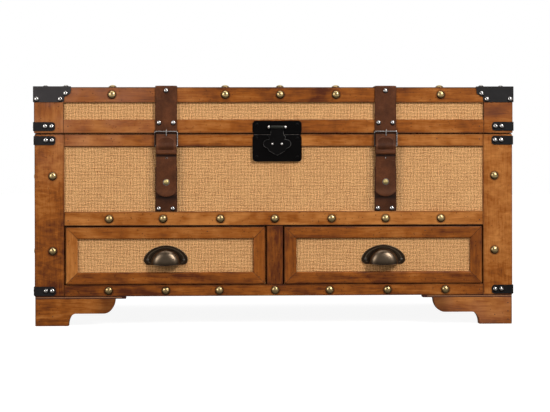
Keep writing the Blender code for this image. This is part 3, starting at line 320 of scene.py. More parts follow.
def wood_finish(name, axis, tone, seed, box, cross=None, seams=(), drift=(0, 0, 0), boards=(), coats=(),
                lively=1.0, sheen_elsewhere=0.008, flame=0.0):
    """Stained wood: a ramp from dark to light stain over figure and streaks, dark in its seams.

    Where cross, a mask, is 1 the grain runs along its own axis: cross is (mask maker, axis).
    drift makes the wood lighter along an axis, per metre from the box's middle; on the feet it darkens
    their tops, which is painted shade under the body. boards are masks with their own shade of stain,
    and coats are masks with a colour that covers the wood, some of them painted light and shade. lively
    is how strong the figure is. A dusty rose is painted over the stain towards the lid's left end, in
    patches, as a painted sheen of the lamp light there, and sheen_elsewhere is how much of that rose
    there is elsewhere. Each board's edges are painted darker as shade. flame is the strength of a curly
    figure across the grain, as on the posts.
    """
    looks = bpy.context.scene.chest_finishes
    shader = Finish(name)
    layers = wood_layers(shader, axis, seed)
    if cross:
        mask, others = cross[0](shader), wood_layers(shader, cross[1], seed + 5.3)
        layers = [layer + (other - layer) * mask for layer, other in zip(layers, others)]
    streak, figure, pores = layers
    cloud = shader.noise(9.0, 2.0, shift=(seed, 2 * seed, 3 * seed))
    mottle = shader.noise(95.0, 3.0, 0.55, stretch=(0.55, 0.55, 0.55), shift=(seed, 0, seed))
    value = swing((figure, 1.1), (streak, 0.65), (cloud, 0.8), (mottle, 0.6), (pores, 0.55))
    if flame:
        curl = shader.noise(52.0, 3.0, 0.6, 1.6, (0.55, 0.55, 1.5), shift=(seed, seed, 2 * seed))
        value = value + swing((curl, flame), (streak, -0.35), (figure, -0.5))
    value = value * lively + tone
    for wire, slope, start, end in zip(shader.axes, drift, *box):
        if slope:
            value = value + (wire - (start + end) / 2) * slope
    for board, shade in boards:
        value = value + board(shader) * shade

    # A dusty rose painted over the stain: painted sheen of the lamp light towards the lid's left end, in
    # patches
    rose_sheen = shader.x.ramp(-0.08, -0.42) * shader.z.ramp(0.24, 0.43) * 0.33 + sheen_elsewhere
    patch = shader.noise(16.0, 3.0, 0.55, shift=(seed, 3 * seed, seed)).ramp(0.30, 0.70)
    fleck = shader.noise(310.0, 0.0, shift=(seed, seed, 0)).ramp(0.76, 0.80)
    edge = nearest_edge(shader, *box)
    rub = (0.0012 - edge).ramp(0.0, 0.0009) * cloud.ramp(0.42, 0.62)
    # Painted shade along the board's edges, less where they are rubbed
    edge_shade = (0.0035 - edge).ramp(0.0, 0.0035) * (1.0 - rub)
    lines = [seam(shader) for seam in seams]
    colour = shader.paint(
        stain(shader, value),
        (rose_sheen * (0.35 + 1.3 * patch), (0.365, 0.165, 0.110)),
        (pores.ramp(0.60, 0.78) * 0.30, looks.wood_dark),
        (fleck * 0.55, (0.03, 0.010, 0.004)),
        (rub * 0.35, looks.wood_light),
        (edge_shade * 0.55, (0.060, 0.016, 0.006)),
        *[(coat(shader) * strength, paint) for coat, paint, strength in coats],
        *[(line * 0.9, (0.020, 0.006, 0.003)) for line in lines])
    height = streak * 0.5 + pores * 0.35
    for line in lines:
        height = height - line * 4.0
    return shader.finish(colour, streak * 0.16 + 0.32 + edge_shade * 0.2, height=height, depth=0.00022,
                         strength=0.55, Specular_IOR_Level=0.18)


def board_finish(name, axis, seed):
    """Plain unstained board: pale wood with faint straight streaks."""
    shader = Finish(name)
    streak, figure, pores = wood_layers(shader, axis, seed)
    colour = shader.tints(swing((streak, 0.6), (figure, 0.5)) + 0.5,
                          bpy.context.scene.chest_finishes.board, (0.0, 0.62), (0.5, 1.0), (1.0, 1.3))
    return shader.finish(colour, 0.72, height=streak + pores * 0.4, depth=0.0002, strength=0.4)


def burlap_layers(shader, u, v, level):
    """Plain weave in two directions of the cloth: colour and height.

    A thread's height is the sine across it, and the two sets take turns on top, cell by cell.
    """
    thread = bpy.context.scene.chest_sizes.thread
    looks = bpy.context.scene.chest_finishes
    u = u + swing((shader.noise(55.0, 2.0), 0.0022),
                  (shader.noise(200.0, 1.0, shift=(0.7, 0.1, 0.4)), 0.0024))
    v = v + swing((shader.noise(48.0, 2.0, shift=(3.1, 1.7, 2.3)), 0.0022),
                  (shader.noise(190.0, 1.0, shift=(2.1, 1.1, 0.9)), 0.0020))
    across, up = u / thread, v / thread
    warp, weft = abs((across * math.pi).sine()), abs((up * math.pi).sine())
    column, row = across.floor(), up.floor()
    turn = ((column + row) * 0.5).fract() > 0.25
    warp_slub, weft_slub = (
        shader.noise(1.0, 2.0, 0.6, place=shader.add("ShaderNodeCombineXYZ", {}, *place))
        for place in ((column * 3.71, v * 34.0, 0.0), (row * 5.13, u * 34.0, 7.0)))
    on_top, under = warp * (0.55 + 0.45 * weft), weft * (0.55 + 0.45 * warp)
    height = under + (on_top - under) * turn
    slub = weft_slub + (warp_slub - weft_slub) * turn
    fibre = shader.noise(900.0, 2.0, 0.7)
    speck = shader.noise(520.0, 1.0, 0.6, shift=(0.3, 0.9, 0.5))
    cloud = shader.noise(14.0, 3.0)
    hole = ((1.0 - warp) * (1.0 - weft)).ramp(0.12, 0.62) * (0.35 + 1.3 * speck)
    dash = shader.noise(640.0, 1.0, stretch=(0.14, 0.14, 1), shift=(1.3, 0.2, 0.7))
    rise = shader.noise(640.0, 1.0, stretch=(1, 1, 0.14), shift=(0.3, 1.2, 0.1))
    tone = swing((slub, 0.8), (fibre, 1.3), (speck, 1.1), (dash, 1.3), (rise, 0.4), (cloud, 0.45))
    # The tone follows the threads' height: painted light on their crowns, darker in the hollows and
    # holes, partly the gaps and partly painted shade
    tone = tone + (height - 0.6) * 3.3 - hole * 1.6 + (level + 0.13)
    colour = shader.colours(tone, [(0.0, looks.burlap_gap), (0.55, looks.burlap),
                                   (1.0, looks.burlap_pale)])
    return colour, height + slub * 0.8


def cloth_finish(name, direction, rails=None, inner=None, shades=(), tone=0.66):
    """Burlap on a panel, with the wood of its rails or the plain board behind where a mask says so.

    direction is the panel's outward axis, or None for a piece with cloth on several faces.
    shades are masks for the painted shade along the frame and beside the straps.
    """
    shader = Finish(name)
    u, v = (shader.y, shader.z) if direction == 0 else (shader.x, shader.z)
    if direction is None:
        facing = shader.facing()
        u = shader.x + (shader.y - shader.x) * (abs(facing[0]) > 0.5)
        v = shader.z + (shader.y - shader.z) * (abs(facing[2]) > 0.5)
    colour, height = burlap_layers(shader, u, v, tone)
    rough = 0.92
    # The shades are painted: a dark brown laid over the cloth, most in its hollows
    colour = shader.paint(colour, *[(shade(shader) * strength * (1.45 - height), (0.055, 0.018, 0.006))
                                    for shade, strength in shades])
    if inner:
        mask = inner(shader)
        grain = shader.noise(190.0, 3.0, 0.6, stretch=(0.07, 1, 1))
        board = bpy.context.scene.chest_finishes.board
        colour = shader.paint(colour, (mask, shader.tints(grain, board, (0.2, 0.7), (0.8, 1.0))))
        height = height + (grain * 0.2 - height) * mask
    if rails:
        mask = rails(shader)
        streak, figure = wood_layers(shader, 0 if direction == 1 else 1, 0.0)[:2]
        colour = shader.paint(colour, (mask, stain(shader, swing((figure, 0.85), (streak, 0.6)) + 0.5)))
        height = height + (streak * 0.3 - height) * mask
        rough = 0.92 - mask * 0.5
    return shader.finish(colour, rough, height=height, depth=0.00018, strength=0.8,
                         Specular_IOR_Level=0.08)


def leather_finish(name, worn=True, tone=1.0):
    """Brown leather: fine pebbles, cloudy dye, darker burnished edges and painted shade from the rim
    attribute.

    The crown attribute says where it is rubbed pale, and on the chape where it carries painted
    highlights.
    """
    shader = Finish(name)
    base = [c * tone for c in bpy.context.scene.chest_finishes.leather]
    cloud = shader.noise(38.0, 4.0, 0.6)
    fine = shader.noise(420.0, 3.0, 0.6)
    pebble = shader.add("ShaderNodeTexVoronoi", {"feature": "DISTANCE_TO_EDGE"}, Vector=shader.place,
                        Scale=850.0)
    colour = shader.tints(swing((cloud, 2.0), (fine, 0.8)) + 0.5, base,
                          (0.0, 0.55), (0.5, 1.0), (1.0, 1.6))
    # Darker where the rim attribute says: burnished edges and painted shade; paler where crown says:
    # rubbed leather and painted highlights
    layers = [(shader.attribute("rim") * 0.5, [c * 0.08 for c in base]),
              (shader.attribute("crown"), (0.21, 0.085, 0.045))]
    if worn:
        scuff = shader.noise(170.0, 4.0, 0.75, stretch=(0.3, 1, 1)).ramp(0.58, 0.74)
        layers.insert(1, (scuff * 0.30, (0.24, 0.105, 0.050)))
    return shader.finish(shader.paint(colour, *layers), 0.46 + (cloud - 0.5) * 0.25,
                         height=pebble * 6.0 + fine * 0.5, depth=0.00014, strength=0.5,
                         Specular_IOR_Level=0.13)


def iron_finish(name, colour, rough=0.46, wear=0.5, shine=0.35, lines=()):
    """Black paint on iron: faint orange peel, greyer where it is rubbed, painted highlights along its
    edges.

    The rim attribute and lines, masks, say where the edges are. It is darker towards the right, as
    painted shade.
    """
    shader = Finish(name)
    peel = shader.noise(520.0, 3.0, 0.55)
    cloud = shader.noise(46.0, 3.0, 0.6)
    tint = shader.tints((cloud - 0.5) * 1.2 + 0.5, colour, (0.1, 0.72), (0.6, 1.0), (1.0, 1.5))
    rub = shader.noise(210.0, 4.0, 0.7).ramp(0.63, 0.72) * wear
    edge_highlight = shader.attribute("rim")
    for line in lines:
        edge_highlight = edge_highlight.most(line(shader))
    edge_highlight = edge_highlight * shader.noise(150.0, 2.0, 0.6).ramp(0.30, 0.62)
    # Painted shade darker towards the right, rubbed grey patches, and painted highlights along the edges
    tint = shader.paint(tint, (shader.x.ramp(0.10, 0.45) * 0.65, (0.0, 0.0, 0.0)),
                        (rub * 0.35, (0.10, 0.095, 0.095)), (edge_highlight * 0.85, (0.17, 0.16, 0.15)))
    return shader.finish(tint, rough + (cloud - 0.5) * 0.2, height=peel, depth=0.00012, strength=0.35,
                         Specular_IOR_Level=shine)


def metal_finish(name, colour, rough, dark, grip=0.6, low_shade=0.0):
    """Cast or plated metal: clean on the crown and tarnished at the foot, from the crown attribute.

    grip is how dark the foot is, and low_shade how much darker it is on the faces that look down, as
    painted shade.
    On the buckles and the cups the crown attribute also carries painted light and shade.
    """
    shader = Finish(name)
    spots = shader.noise(260.0, 3.0, 0.6)
    old = (1.0 - shader.attribute("crown")).ramp(0.15, 0.95) * grip + (spots - 0.5) * 0.35
    # Painted shade on the faces that look down
    if low_shade:
        old = old + shader.facing()[2].ramp(0.10, -0.35) * low_shade
    colour = shader.paint(tuple(colour), (old.most(0.0), dark))
    return shader.finish(colour, rough + (spots - 0.5) * 0.18, metal=1.0, height=spots, depth=0.00008,
                         strength=0.3)


def dress(node, material):
    """Gives a solid of the frame a finish."""
    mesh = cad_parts[node].data
    mesh.materials.clear()
    mesh.materials.append(material)


def piece(name, sheets, material, body=None, around=False, along=False, rims=None, crowns=None,
          smooth=40.0, closed=True):
    """One closed mesh from grids of points. Neighbours on a grid are joined by four-cornered faces.

    around joins a grid's last column to its first, and along its last row to its first.
    rims and crowns are values for the points, which the finishes read: one number for all, or a
    number or an array for each grid. A piece that is left open at an edge stops the script.
    """
    points, faces, start = [], [], 0
    for grid in sheets:
        rows, columns = grid.shape[:2]
        index = np.arange(rows * columns).reshape(rows, columns) + start
        if around:
            index = np.concatenate([index, index[:, :1]], axis=1)
        if along:
            index = np.concatenate([index, index[:1]], axis=0)
        corners = (index[:-1, :-1], index[1:, :-1], index[1:, 1:], index[:-1, 1:])
        faces.append(np.stack(corners, axis=-1).reshape(-1, 4))
        points.append(grid.reshape(-1, 3))
        start += rows * columns
    points = np.concatenate(points)
    faces = np.concatenate(faces)
    mesh = bpy.data.meshes.new(name)
    mesh.vertices.add(len(points))
    mesh.vertices.foreach_set("co", points.astype(np.float32).ravel())
    mesh.loops.add(faces.size)
    mesh.loops.foreach_set("vertex_index", faces.astype(np.int32).ravel())
    mesh.polygons.add(len(faces))
    mesh.polygons.foreach_set("loop_start", np.arange(0, faces.size, 4, dtype=np.int32))
    mesh.update(calc_edges=True)
    for label, values in (("rim", rims), ("crown", crowns)):
        if values is not None:
            values = values if isinstance(values, list) else [values] * len(sheets)
            flat = [np.broadcast_to(value, grid.shape[:2]).ravel()
                    for value, grid in zip(values, sheets)]
            layer = mesh.attributes.new(label, "FLOAT", "POINT")
            layer.data.foreach_set("value", np.concatenate(flat).astype(np.float32))
    shape = bmesh.new()
    shape.from_mesh(mesh)
    bmesh.ops.remove_doubles(shape, verts=shape.verts, dist=2e-6)
    bmesh.ops.dissolve_degenerate(shape, edges=shape.edges, dist=1e-7)
    bmesh.ops.recalc_face_normals(shape, faces=shape.faces)
    if closed and any(not edge.is_manifold for edge in shape.edges):
        raise RuntimeError(f"{name} is not a closed mesh")
    shape.to_mesh(mesh)
    shape.free()
    mesh.shade_smooth()
    mesh.set_sharp_from_angle(angle=math.radians(smooth))
    mesh.materials.append(material)
    made = bpy.data.objects.new(name, mesh)
    bpy.context.scene.collection.objects.link(made)
    if body:
        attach(made, body)
    return made


def circle(steps):
    """Angles all the way round, without the last."""
    return np.linspace(0.0, 2 * math.pi, steps, endpoint=False)


def eased(value, power):
    """sgn(value) |value|^power, which presses a circle towards a square."""
    return np.sign(value) * np.abs(value) ** power


def bump(value, middle, width):
    """A bell curve: exp(-((value - middle) / width)^2)."""
    return np.exp(-((value - middle) / width) ** 2)


def turned(profile, places, outward, steps=20):
    """A profile of (radius, height) turned round its axis, once at each place.

    P(t, a) = place + radius(t) (cos a U + sin a V) + height(t) N, with U and V across the face
    and N out of it.
    """
    out = np.array(outward, float)
    across = np.cross((0.0, 0.0, 1.0) if abs(out[2]) < 0.9 else (0.0, 1.0, 0.0), out)
    across /= np.linalg.norm(across)
    profile = np.array(profile, float)
    angle = circle(steps)[:, None]
    ring = np.cos(angle) * across + np.sin(angle) * np.cross(out, across)
    one = profile[:, 0, None, None] * ring[None] + profile[:, 1, None, None] * out
    return [one + np.array(place, float) for place in places]


def dome_profile(radius, rise):
    """A low dome with a small foot: a quarter of an ellipse, from its hidden underside to its crown."""
    t = np.linspace(0.0, math.pi / 2, 8)
    curve = np.stack([radius * np.cos(t), rise * np.sin(t)], axis=1)
    return np.concatenate([[(0.0, -0.0004), (radius * 0.98, -0.0004)], curve])


def dome_crown(profile, steps=20):
    """1 on the crown and 0 at the foot, for every point of a dome."""
    height = np.clip(profile[:, 1] / profile[:, 1].max() * 1.25 - 0.25, 0, 1)
    return np.repeat(height[:, None], steps, axis=1)


def domes(name, groups, radius, rise, material, body, steps=20):
    """Domes on several faces as one piece. groups are (places, outward).

    Each is hammered in a little askew and tarnished a little differently.
    """
    profile = dome_profile(radius, rise)
    chance = np.random.default_rng(len(name))
    sheets, crowns = [], []
    for places, outward in groups:
        for place in places:
            lean = np.array(outward, float) + chance.uniform(-0.07, 0.07, 3)
            sheets += turned(profile, [place], lean / np.linalg.norm(lean), steps)
            crowns.append(dome_crown(profile, steps) * chance.uniform(0.72, 1.0))
    return piece(name, sheets, material, body, around=True, crowns=crowns, smooth=60)


def front_domes(name, places, radius, rise, material, body, steps=16):
    """Small domes that look forward."""
    return domes(name, [(places, FORWARD)], radius, rise, material, body, steps)


def frame_shade(centre, half_width, low, high, depth):
    """A mask maker: painted shade along the inside of a frame in x and z, thickest below its top rail.
    """
    def shade(s):
        sides = (half_width - abs(s.x - centre)).ramp(depth, 0.0)
        top = (high - s.z).ramp(depth * 1.5, 0.0)
        return sides.most(top).most((s.z - low).ramp(depth * 0.7, 0.0) * 0.8)
    return shade


def from_straps(s):
    """Distance from the middle of the nearer strap."""
    left, right = (abs(s.x - x) for x in STRAP_X.values())
    return left.least(right)


def strap_shade(s):
    """A mask: speckled shade on the burlap beside the straps."""
    fleck = s.noise(520.0, 1.0, 0.6).ramp(0.40, 0.55)
    return from_straps(s).ramp(0.0410, 0.0260) * (0.15 + 0.85 * fleck)


def shadow_beside_buckles(s):
    """A mask: painted shadow in the gap between the buckles' side bars and the straps."""
    return from_straps(s).ramp(0.0246, 0.0212)


def lid_seam(s):
    """A mask: a thin line where the lid's stiles meet its rails."""
    return (SEAM - abs(abs(s.x) - LID_STILE)).ramp(0.0, SEAM * 0.6)


def round_nails(places):
    """A coat: a dark ring round the dome nails at these places in x and z: old polish and painted
    contact shadow.
    """
    def ring(s):
        least = None
        for x, z in places:
            reach = ((s.x - x) ** 2 + (s.z - z) ** 2) ** 0.5
            least = reach if least is None else least.least(reach)
        return least.ramp(0.0112, 0.0080)
    return ring, POLISH_AND_SHADE, 0.5


def need(*stems):
    """Stops a step with an error if a solid that it dresses is missing."""
    for stem in stems:
        if not any(node.startswith(stem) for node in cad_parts):
            raise RuntimeError(f"the chest has no solid named {stem}")


class CHEST_OT_stage(bpy.types.Operator):
    """Floor, camera at the photograph's place and soft studio lamps"""

    bl_idname = "chest.stage"
    bl_label = "Stage"

    def execute(self, context):
        scene = context.scene
        scene.view_settings.view_transform = "Standard"
        reach = np.linspace(-14.0, 14.0, 3)
        plane = np.stack(np.meshgrid(reach, reach, [-0.0002], indexing="ij"), axis=-1)[:, :, 0]
        floor = piece("studio_floor", [plane], self.floor_finish(), closed=False)

        camera_data = bpy.data.cameras.new("front_camera")
        camera_data.lens = 102.8
        camera_data.sensor_width = 36.0
        camera_data.shift_x = -0.0006
        camera_data.shift_y = -0.0690
        camera = bpy.data.objects.new("front_camera", camera_data)
        camera.location = (-0.1173, FRONT - 3.0, 0.30)
        level = Euler((math.pi / 2, 0.0, math.radians(-2.26))).to_matrix()
        camera.rotation_euler = (level @ Matrix.Rotation(math.radians(-0.10), 3, "Z")).to_euler()
        scene.collection.objects.link(camera)
        scene.camera = camera

        for name, place, size, power in (("left_softbox", (-2.3, -2.5, 1.5), (1.2, 1.4), 42.0),
                                         ("right_softbox", (1.7, -2.7, 2.2), (0.8, 1.3), 84.0),
                                         ("top_softbox", (0.0, -0.4, 3.0), (2.6, 1.4), 43.0)):
            data = bpy.data.lights.new(name, "AREA")
            data.shape = "RECTANGLE"
            data.size, data.size_y = size
            data.energy = power
            lamp = bpy.data.objects.new(name, data)
            lamp.location = place
            aim = Vector((0.0, 0.0, 0.22)) - lamp.location
            lamp.rotation_euler = aim.to_track_quat("-Z", "Y").to_euler()
            scene.collection.objects.link(lamp)
        self.world(scene)
        return {"FINISHED"}

    def floor_finish(self):
        """White floor that keeps the soft shadow: part of its white is for the camera only."""
        shader = Finish("studio_floor")
        away = (shader.x * shader.x + shader.y * shader.y) ** 0.5
        glow = (0.915 + 0.085 * away.ramp(0.9, 2.2)) * shader.seen(away.ramp(0.9, 2.6))
        white = shader.add("ShaderNodeCombineColor", {}, glow, glow, glow)
        return shader.finish((0.24, 0.24, 0.24), 0.95, Emission_Color=white, Emission_Strength=1.0,
                             Specular_IOR_Level=0.0)

    def world(self, scene):
        """White where the camera looks and metal mirrors it, and a soft grey studio for light."""
        world = scene.world or bpy.data.worlds.new("studio")
        scene.world = world
        world.use_nodes = True
        world.node_tree.nodes.clear()
        shader = Shader(world.node_tree)
        ahead = shader.parts(shader.add("ShaderNodeTexCoord", {}, out="Generated"))[1]
        grey = shader.add("ShaderNodeMapRange", {"interpolation_type": "SMOOTHSTEP"},
                          ahead, -0.35, 0.30, 0.12, 0.50)
        light = shader.add("ShaderNodeBackground", {}, grey)
        white = shader.add("ShaderNodeBackground", {}, (1.0, 1.0, 1.0))
        both = shader.add("ShaderNodeMixShader", {}, shader.seen(ahead.ramp(0.0, 0.5)), light, white)
        shader.add("ShaderNodeOutputWorld", {}, both, out=None)


class CHEST_OT_woodwork(bpy.types.Operator):
    """Stained wood on the posts, rails, feet, mouldings and the lid's frames"""

    bl_idname = "chest.woodwork"
    bl_label = "Woodwork"

    def execute(self, context):
        need("corner_post", "front_", "foot_", "lid_front_frame", "drawer_moulding")
        tones = {
            "corner_post_front_left": (0.40, (0, 0, 1.1)),
            "corner_post_front_right": (0.64, (0, 0, 0.1)),
            "corner_post_rear_left": (0.50, (0, 0, 0)), "corner_post_rear_right": (0.52, (0, 0, 0)),
            "front_top_rail": (0.53, (0.08, 0, 0)), "front_mid_rail": (0.74, (0.22, 0, 0)),
            "front_bottom_rail": (0.31, (0.15, 0, 0)), "drawer_muntin": (0.27, (0, 0, 0)),
            # The feet darken towards their tops: painted shade under the body
            "foot_front_left": (0.46, (0, 0, -1.2)), "foot_front_right": (0.68, (0, 0, -1.0)),
            "foot_rear_left": (0.48, (0, 0, 0)), "foot_rear_right": (0.50, (0, 0, 0)),
        }
        for seed, (node, (tone, drift)) in enumerate(tones.items()):
            self.board(node, tone, drift, seed * 1.31 + 0.4)
        for node, low_y, high_y, tone, seed in (("lid_front_frame", FRONT, FRONT + SLAT, 0.42, 7.98),
                                                ("lid_back_frame", BACK - SLAT, BACK, 0.45, 9.45)):
            self.lid_frame(node, low_y, high_y, tone, seed)
        for word, side in SIDES.items():
            self.lid_side(f"lid_side_frame_{word}", side)
        low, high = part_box("lid_top_frame")
        box = (low, (high.x, high.y, LID_HIGH))
        dress("lid_top_frame", wood_finish("wood_lid_top_frame", 0, 0.50, 3.3, box, seams=(lid_seam,),
                                           cross=(lambda s: abs(s.x) > LID_STILE, 1)))
        for word, tone, lift, outer_end, bottom in (("left", 0.34, 0.20, 0.42, 0.0),
                                                    ("right", 0.40, -0.05, 0.0, -0.13)):
            self.moulding(f"drawer_moulding_{word}", tone, lift, outer_end, bottom)
        for node, axis in (("bottom_board", 0), ("drawer_partition", 1), ("drawer_guide_left", 1),
                           ("drawer_guide_right", 1), ("compartment_floor", 0)):
            dress(node, board_finish(f"board_{node}", axis, axis + 1.7))
        return {"FINISHED"}

    def board(self, node, tone, drift, seed):
        """A post, rail or foot: its edges are the front board's, and its coats are what gathers on it
        and painted light and shade.
        """
        low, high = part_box(node)
        box = [list(low), list(high)]
        post = node.startswith("corner")
        if post:
            side = -1 if node.endswith("left") else 1
            end = -1 if "front" in node else 1
            box[0 if side < 0 else 1][0] = side * HALF
            box[0 if end < 0 else 1][1] = FRONT if end < 0 else BACK
        elif node.startswith("front"):
            box[0][1] = FRONT
        cross, coats = None, []
        if node == "front_mid_rail":
            coats = [round_nails([(x, MID_RAIL) for x in MID_NAILS]),
                     # Painted shade: the rail's lower edge near-black over the drawers' gap
                     (lambda s: (s.z - MID_LOW).ramp(0.0021, 0.0012), GAP_SHADE_BLACK, 0.97)]
        elif node == "front_bottom_rail":
            coats = [round_nails([(x, BODY_LOW + 0.0106) for x in BOTTOM_NAILS])]
        elif node == "front_top_rail":
            coats = [(shadow_beside_buckles, STRAP_GAP_SHADE, 0.85)]
        elif node.startswith("corner_post_front"):
            coats = [round_nails([(side * (HALF - NAIL_INSET), z) for z in POST_NAILS])]
        elif node.startswith("foot"):
            top = high.z
            outer = abs(low.x) if low.x < 0 else high.x
            cross = (lambda s: abs(s.x) > outer - 0.0005, 1)
            # Painted shade towards the foot's rounded end, and a painted highlight on the plate's lit
            # edge
            shadow = lambda s: abs(s.x).ramp(0.350, 0.318)
            plate_board = lambda s: s.z > top - 0.0043
            lit_edge = lambda s: abs(s.z - top + 0.0016).ramp(0.0008, 0.0004) * (abs(s.x) > 0.292)
            coats = [(shadow, (0.055, 0.014, 0.004), 0.55), (plate_board, (0.046, 0.014, 0.013), 0.9),
                     (lit_edge, (0.42, 0.20, 0.09), 0.9)]
        axis = 2 if post or node == "drawer_muntin" else 0
        dress(node, wood_finish(f"wood_{node}", axis, tone, seed, box,
                                cross=cross, drift=drift, coats=coats, lively=1.05 if post else 1.15,
                                sheen_elsewhere=0.15 if node == "foot_front_right" else 0.008,
                                flame=0.9 if post else 0.0))

    def lid_frame(self, node, low_y, high_y, tone, seed):
        """The lid's front or back frame, each of its boards with its own shade of stain."""
        reddish = lambda s: (s.x > LID_STILE) * s.z.ramp(LID_LOW + 0.014, LID_LOW + 0.038)
        in_rail = lambda s: s.z < LID_RAIL_HIGH + 0.004
        boards = ((lambda s: abs(s.x) > LID_STILE, 0.10),
                  (lambda s: in_rail(s) * s.x.ramp(0.03, -0.03), 0.06),
                  (lambda s: in_rail(s) * s.x.ramp(0.25, 0.28) * (s.x < LID_STILE), 0.16),
                  (lambda s: (s.z > LID_PANEL_HIGH) * abs(s.x).ramp(0.32, 0.22), -0.08),
                  (reddish, -0.24))
        coats = (round_nails([(x, LID_HIGH - NAIL_DROP) for x in LID_NAILS]),
                 # Painted shade: a dark line along the lid's rounded top edge
                 (lambda s: (LID_HIGH - s.z).ramp(0.0019, 0.0007), (0.022, 0.010, 0.007), 0.75),
                 (lambda s: shadow_beside_buckles(s) * (s.z < LID_LOW + 0.006), STRAP_GAP_SHADE, 0.85),
                 (reddish, (0.250, 0.082, 0.036), 0.32))
        dress(node, wood_finish(f"wood_{node}", 0, tone, seed,
                                ((-LID_HALF, low_y, LID_LOW), (LID_HALF, high_y, LID_HIGH)),
                                cross=(lambda s: s.x < -LID_STILE, 2), seams=(lid_seam,),
                                boards=boards, coats=coats))

    def lid_side(self, node, side):
        """A side frame of the lid, with its two stiles upright."""
        low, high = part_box(node)
        walls = sorted((side * LID_HALF, side * (LID_HALF - SLAT)))
        middle, reach = (FRONT + BACK) / 2, (BACK - FRONT) / 2 - STILE
        ends = lambda s: (s.y < FRONT + STILE) + (s.y > BACK - STILE)
        line = lambda s: (SEAM - abs(abs(s.y - middle) - reach)).ramp(0.0, 0.0004)
        dress(node, wood_finish(f"wood_{node}", 1, 0.52, 7.0 + side,
                                ((walls[0], low.y, LID_LOW), (walls[1], high.y, LID_HIGH)),
                                cross=(ends, 2), seams=(line,)))

    def moulding(self, node, tone, lift, outer_end, bottom):
        """A mitred frame: lift, outer_end and bottom shade its top, left and low mouldings."""
        low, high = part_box(node)
        middle, half = (low + high) / 2, (high - low) / 2

        def corner(s):
            """How much nearer a point is to the side edges than to the top and bottom ones."""
            return (half.z - abs(s.z - middle.z)) - (half.x - abs(s.x - middle.x))

        boards = ((lambda s: (s.z > middle.z) * (corner(s) < 0.0), lift),
                  (lambda s: (s.x < middle.x) * (corner(s) > 0.0), outer_end),
                  (lambda s: (s.z < middle.z) * (corner(s) < 0.0), bottom))
        mitre = lambda s: (SEAM - abs(corner(s))).ramp(0.0, 0.0005)
        # Painted shade: the moulding's top edge near-black in the gap under the rail
        edge = (lambda s: (high.z - s.z).ramp(0.0016, 0.0006), GAP_SHADE_BLACK, 0.9)
        dress(node, wood_finish(f"wood_{node}", 0, tone, tone * 33, (low, high),
                                cross=(lambda s: corner(s) > 0.0, 2), seams=(mitre,), boards=boards,
                                coats=(edge,)))


class CHEST_OT_burlap(bpy.types.Operator):
    """Burlap on the panels, the lid's shell and the drawer fronts, with plain board behind it"""

    bl_idname = "chest.burlap"
    bl_label = "Burlap"

    def execute(self, context):
        need("front_panel", "side_panel", "back_panel", "lid_shell", "drawer_box")
        board, play = 0.011, 0.0004
        shades = ((frame_shade(0.0, HALF - STILE, MID_HIGH, PANEL_HIGH, 0.0032), 0.42),
                  (strap_shade, 0.95))
        dress("front_panel", cloth_finish("burlap_front", 1, inner=lambda s: s.y > FRONT + 0.0125,
                                          shades=shades, tone=0.60))
        dress("back_panel", cloth_finish("burlap_back", 1, rails=lambda s: s.y > BACK - SLAT + play,
                                         inner=lambda s: s.y < BACK - board))
        low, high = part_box("lid_shell")
        inside = (lambda s: (abs(s.x) < high.x - 0.006) * (s.y > low.y + 0.006) * (s.y < high.y - 0.006)
                  * (s.z < high.z - 0.004))
        shades = ((frame_shade(0.0, LID_STILE, LID_RAIL_HIGH, LID_PANEL_HIGH, 0.0032), 0.42),)
        dress("lid_shell", cloth_finish("burlap_lid", None, inner=inside, shades=shades))
        for word in SIDES:
            dress(f"side_panel_{word}", cloth_finish(
                f"burlap_side_{word}", 0, rails=lambda s: abs(s.x) > HALF - SLAT + play,
                inner=lambda s: abs(s.x) < HALF - board))
            low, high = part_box(f"drawer_moulding_{word}")
            front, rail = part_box(f"drawer_box_{word}")[0].y, 0.023
            shade = frame_shade((low.x + high.x) / 2, (high.x - low.x) / 2 - rail, low.z + rail,
                                high.z - rail, 0.0016)
            dress(f"drawer_box_{word}", cloth_finish(f"burlap_drawer_{word}", 1, tone=0.59,
                                                     shades=((shade, 0.4),),
                                                     inner=lambda s: s.y > front + 0.0006))
        return {"FINISHED"}


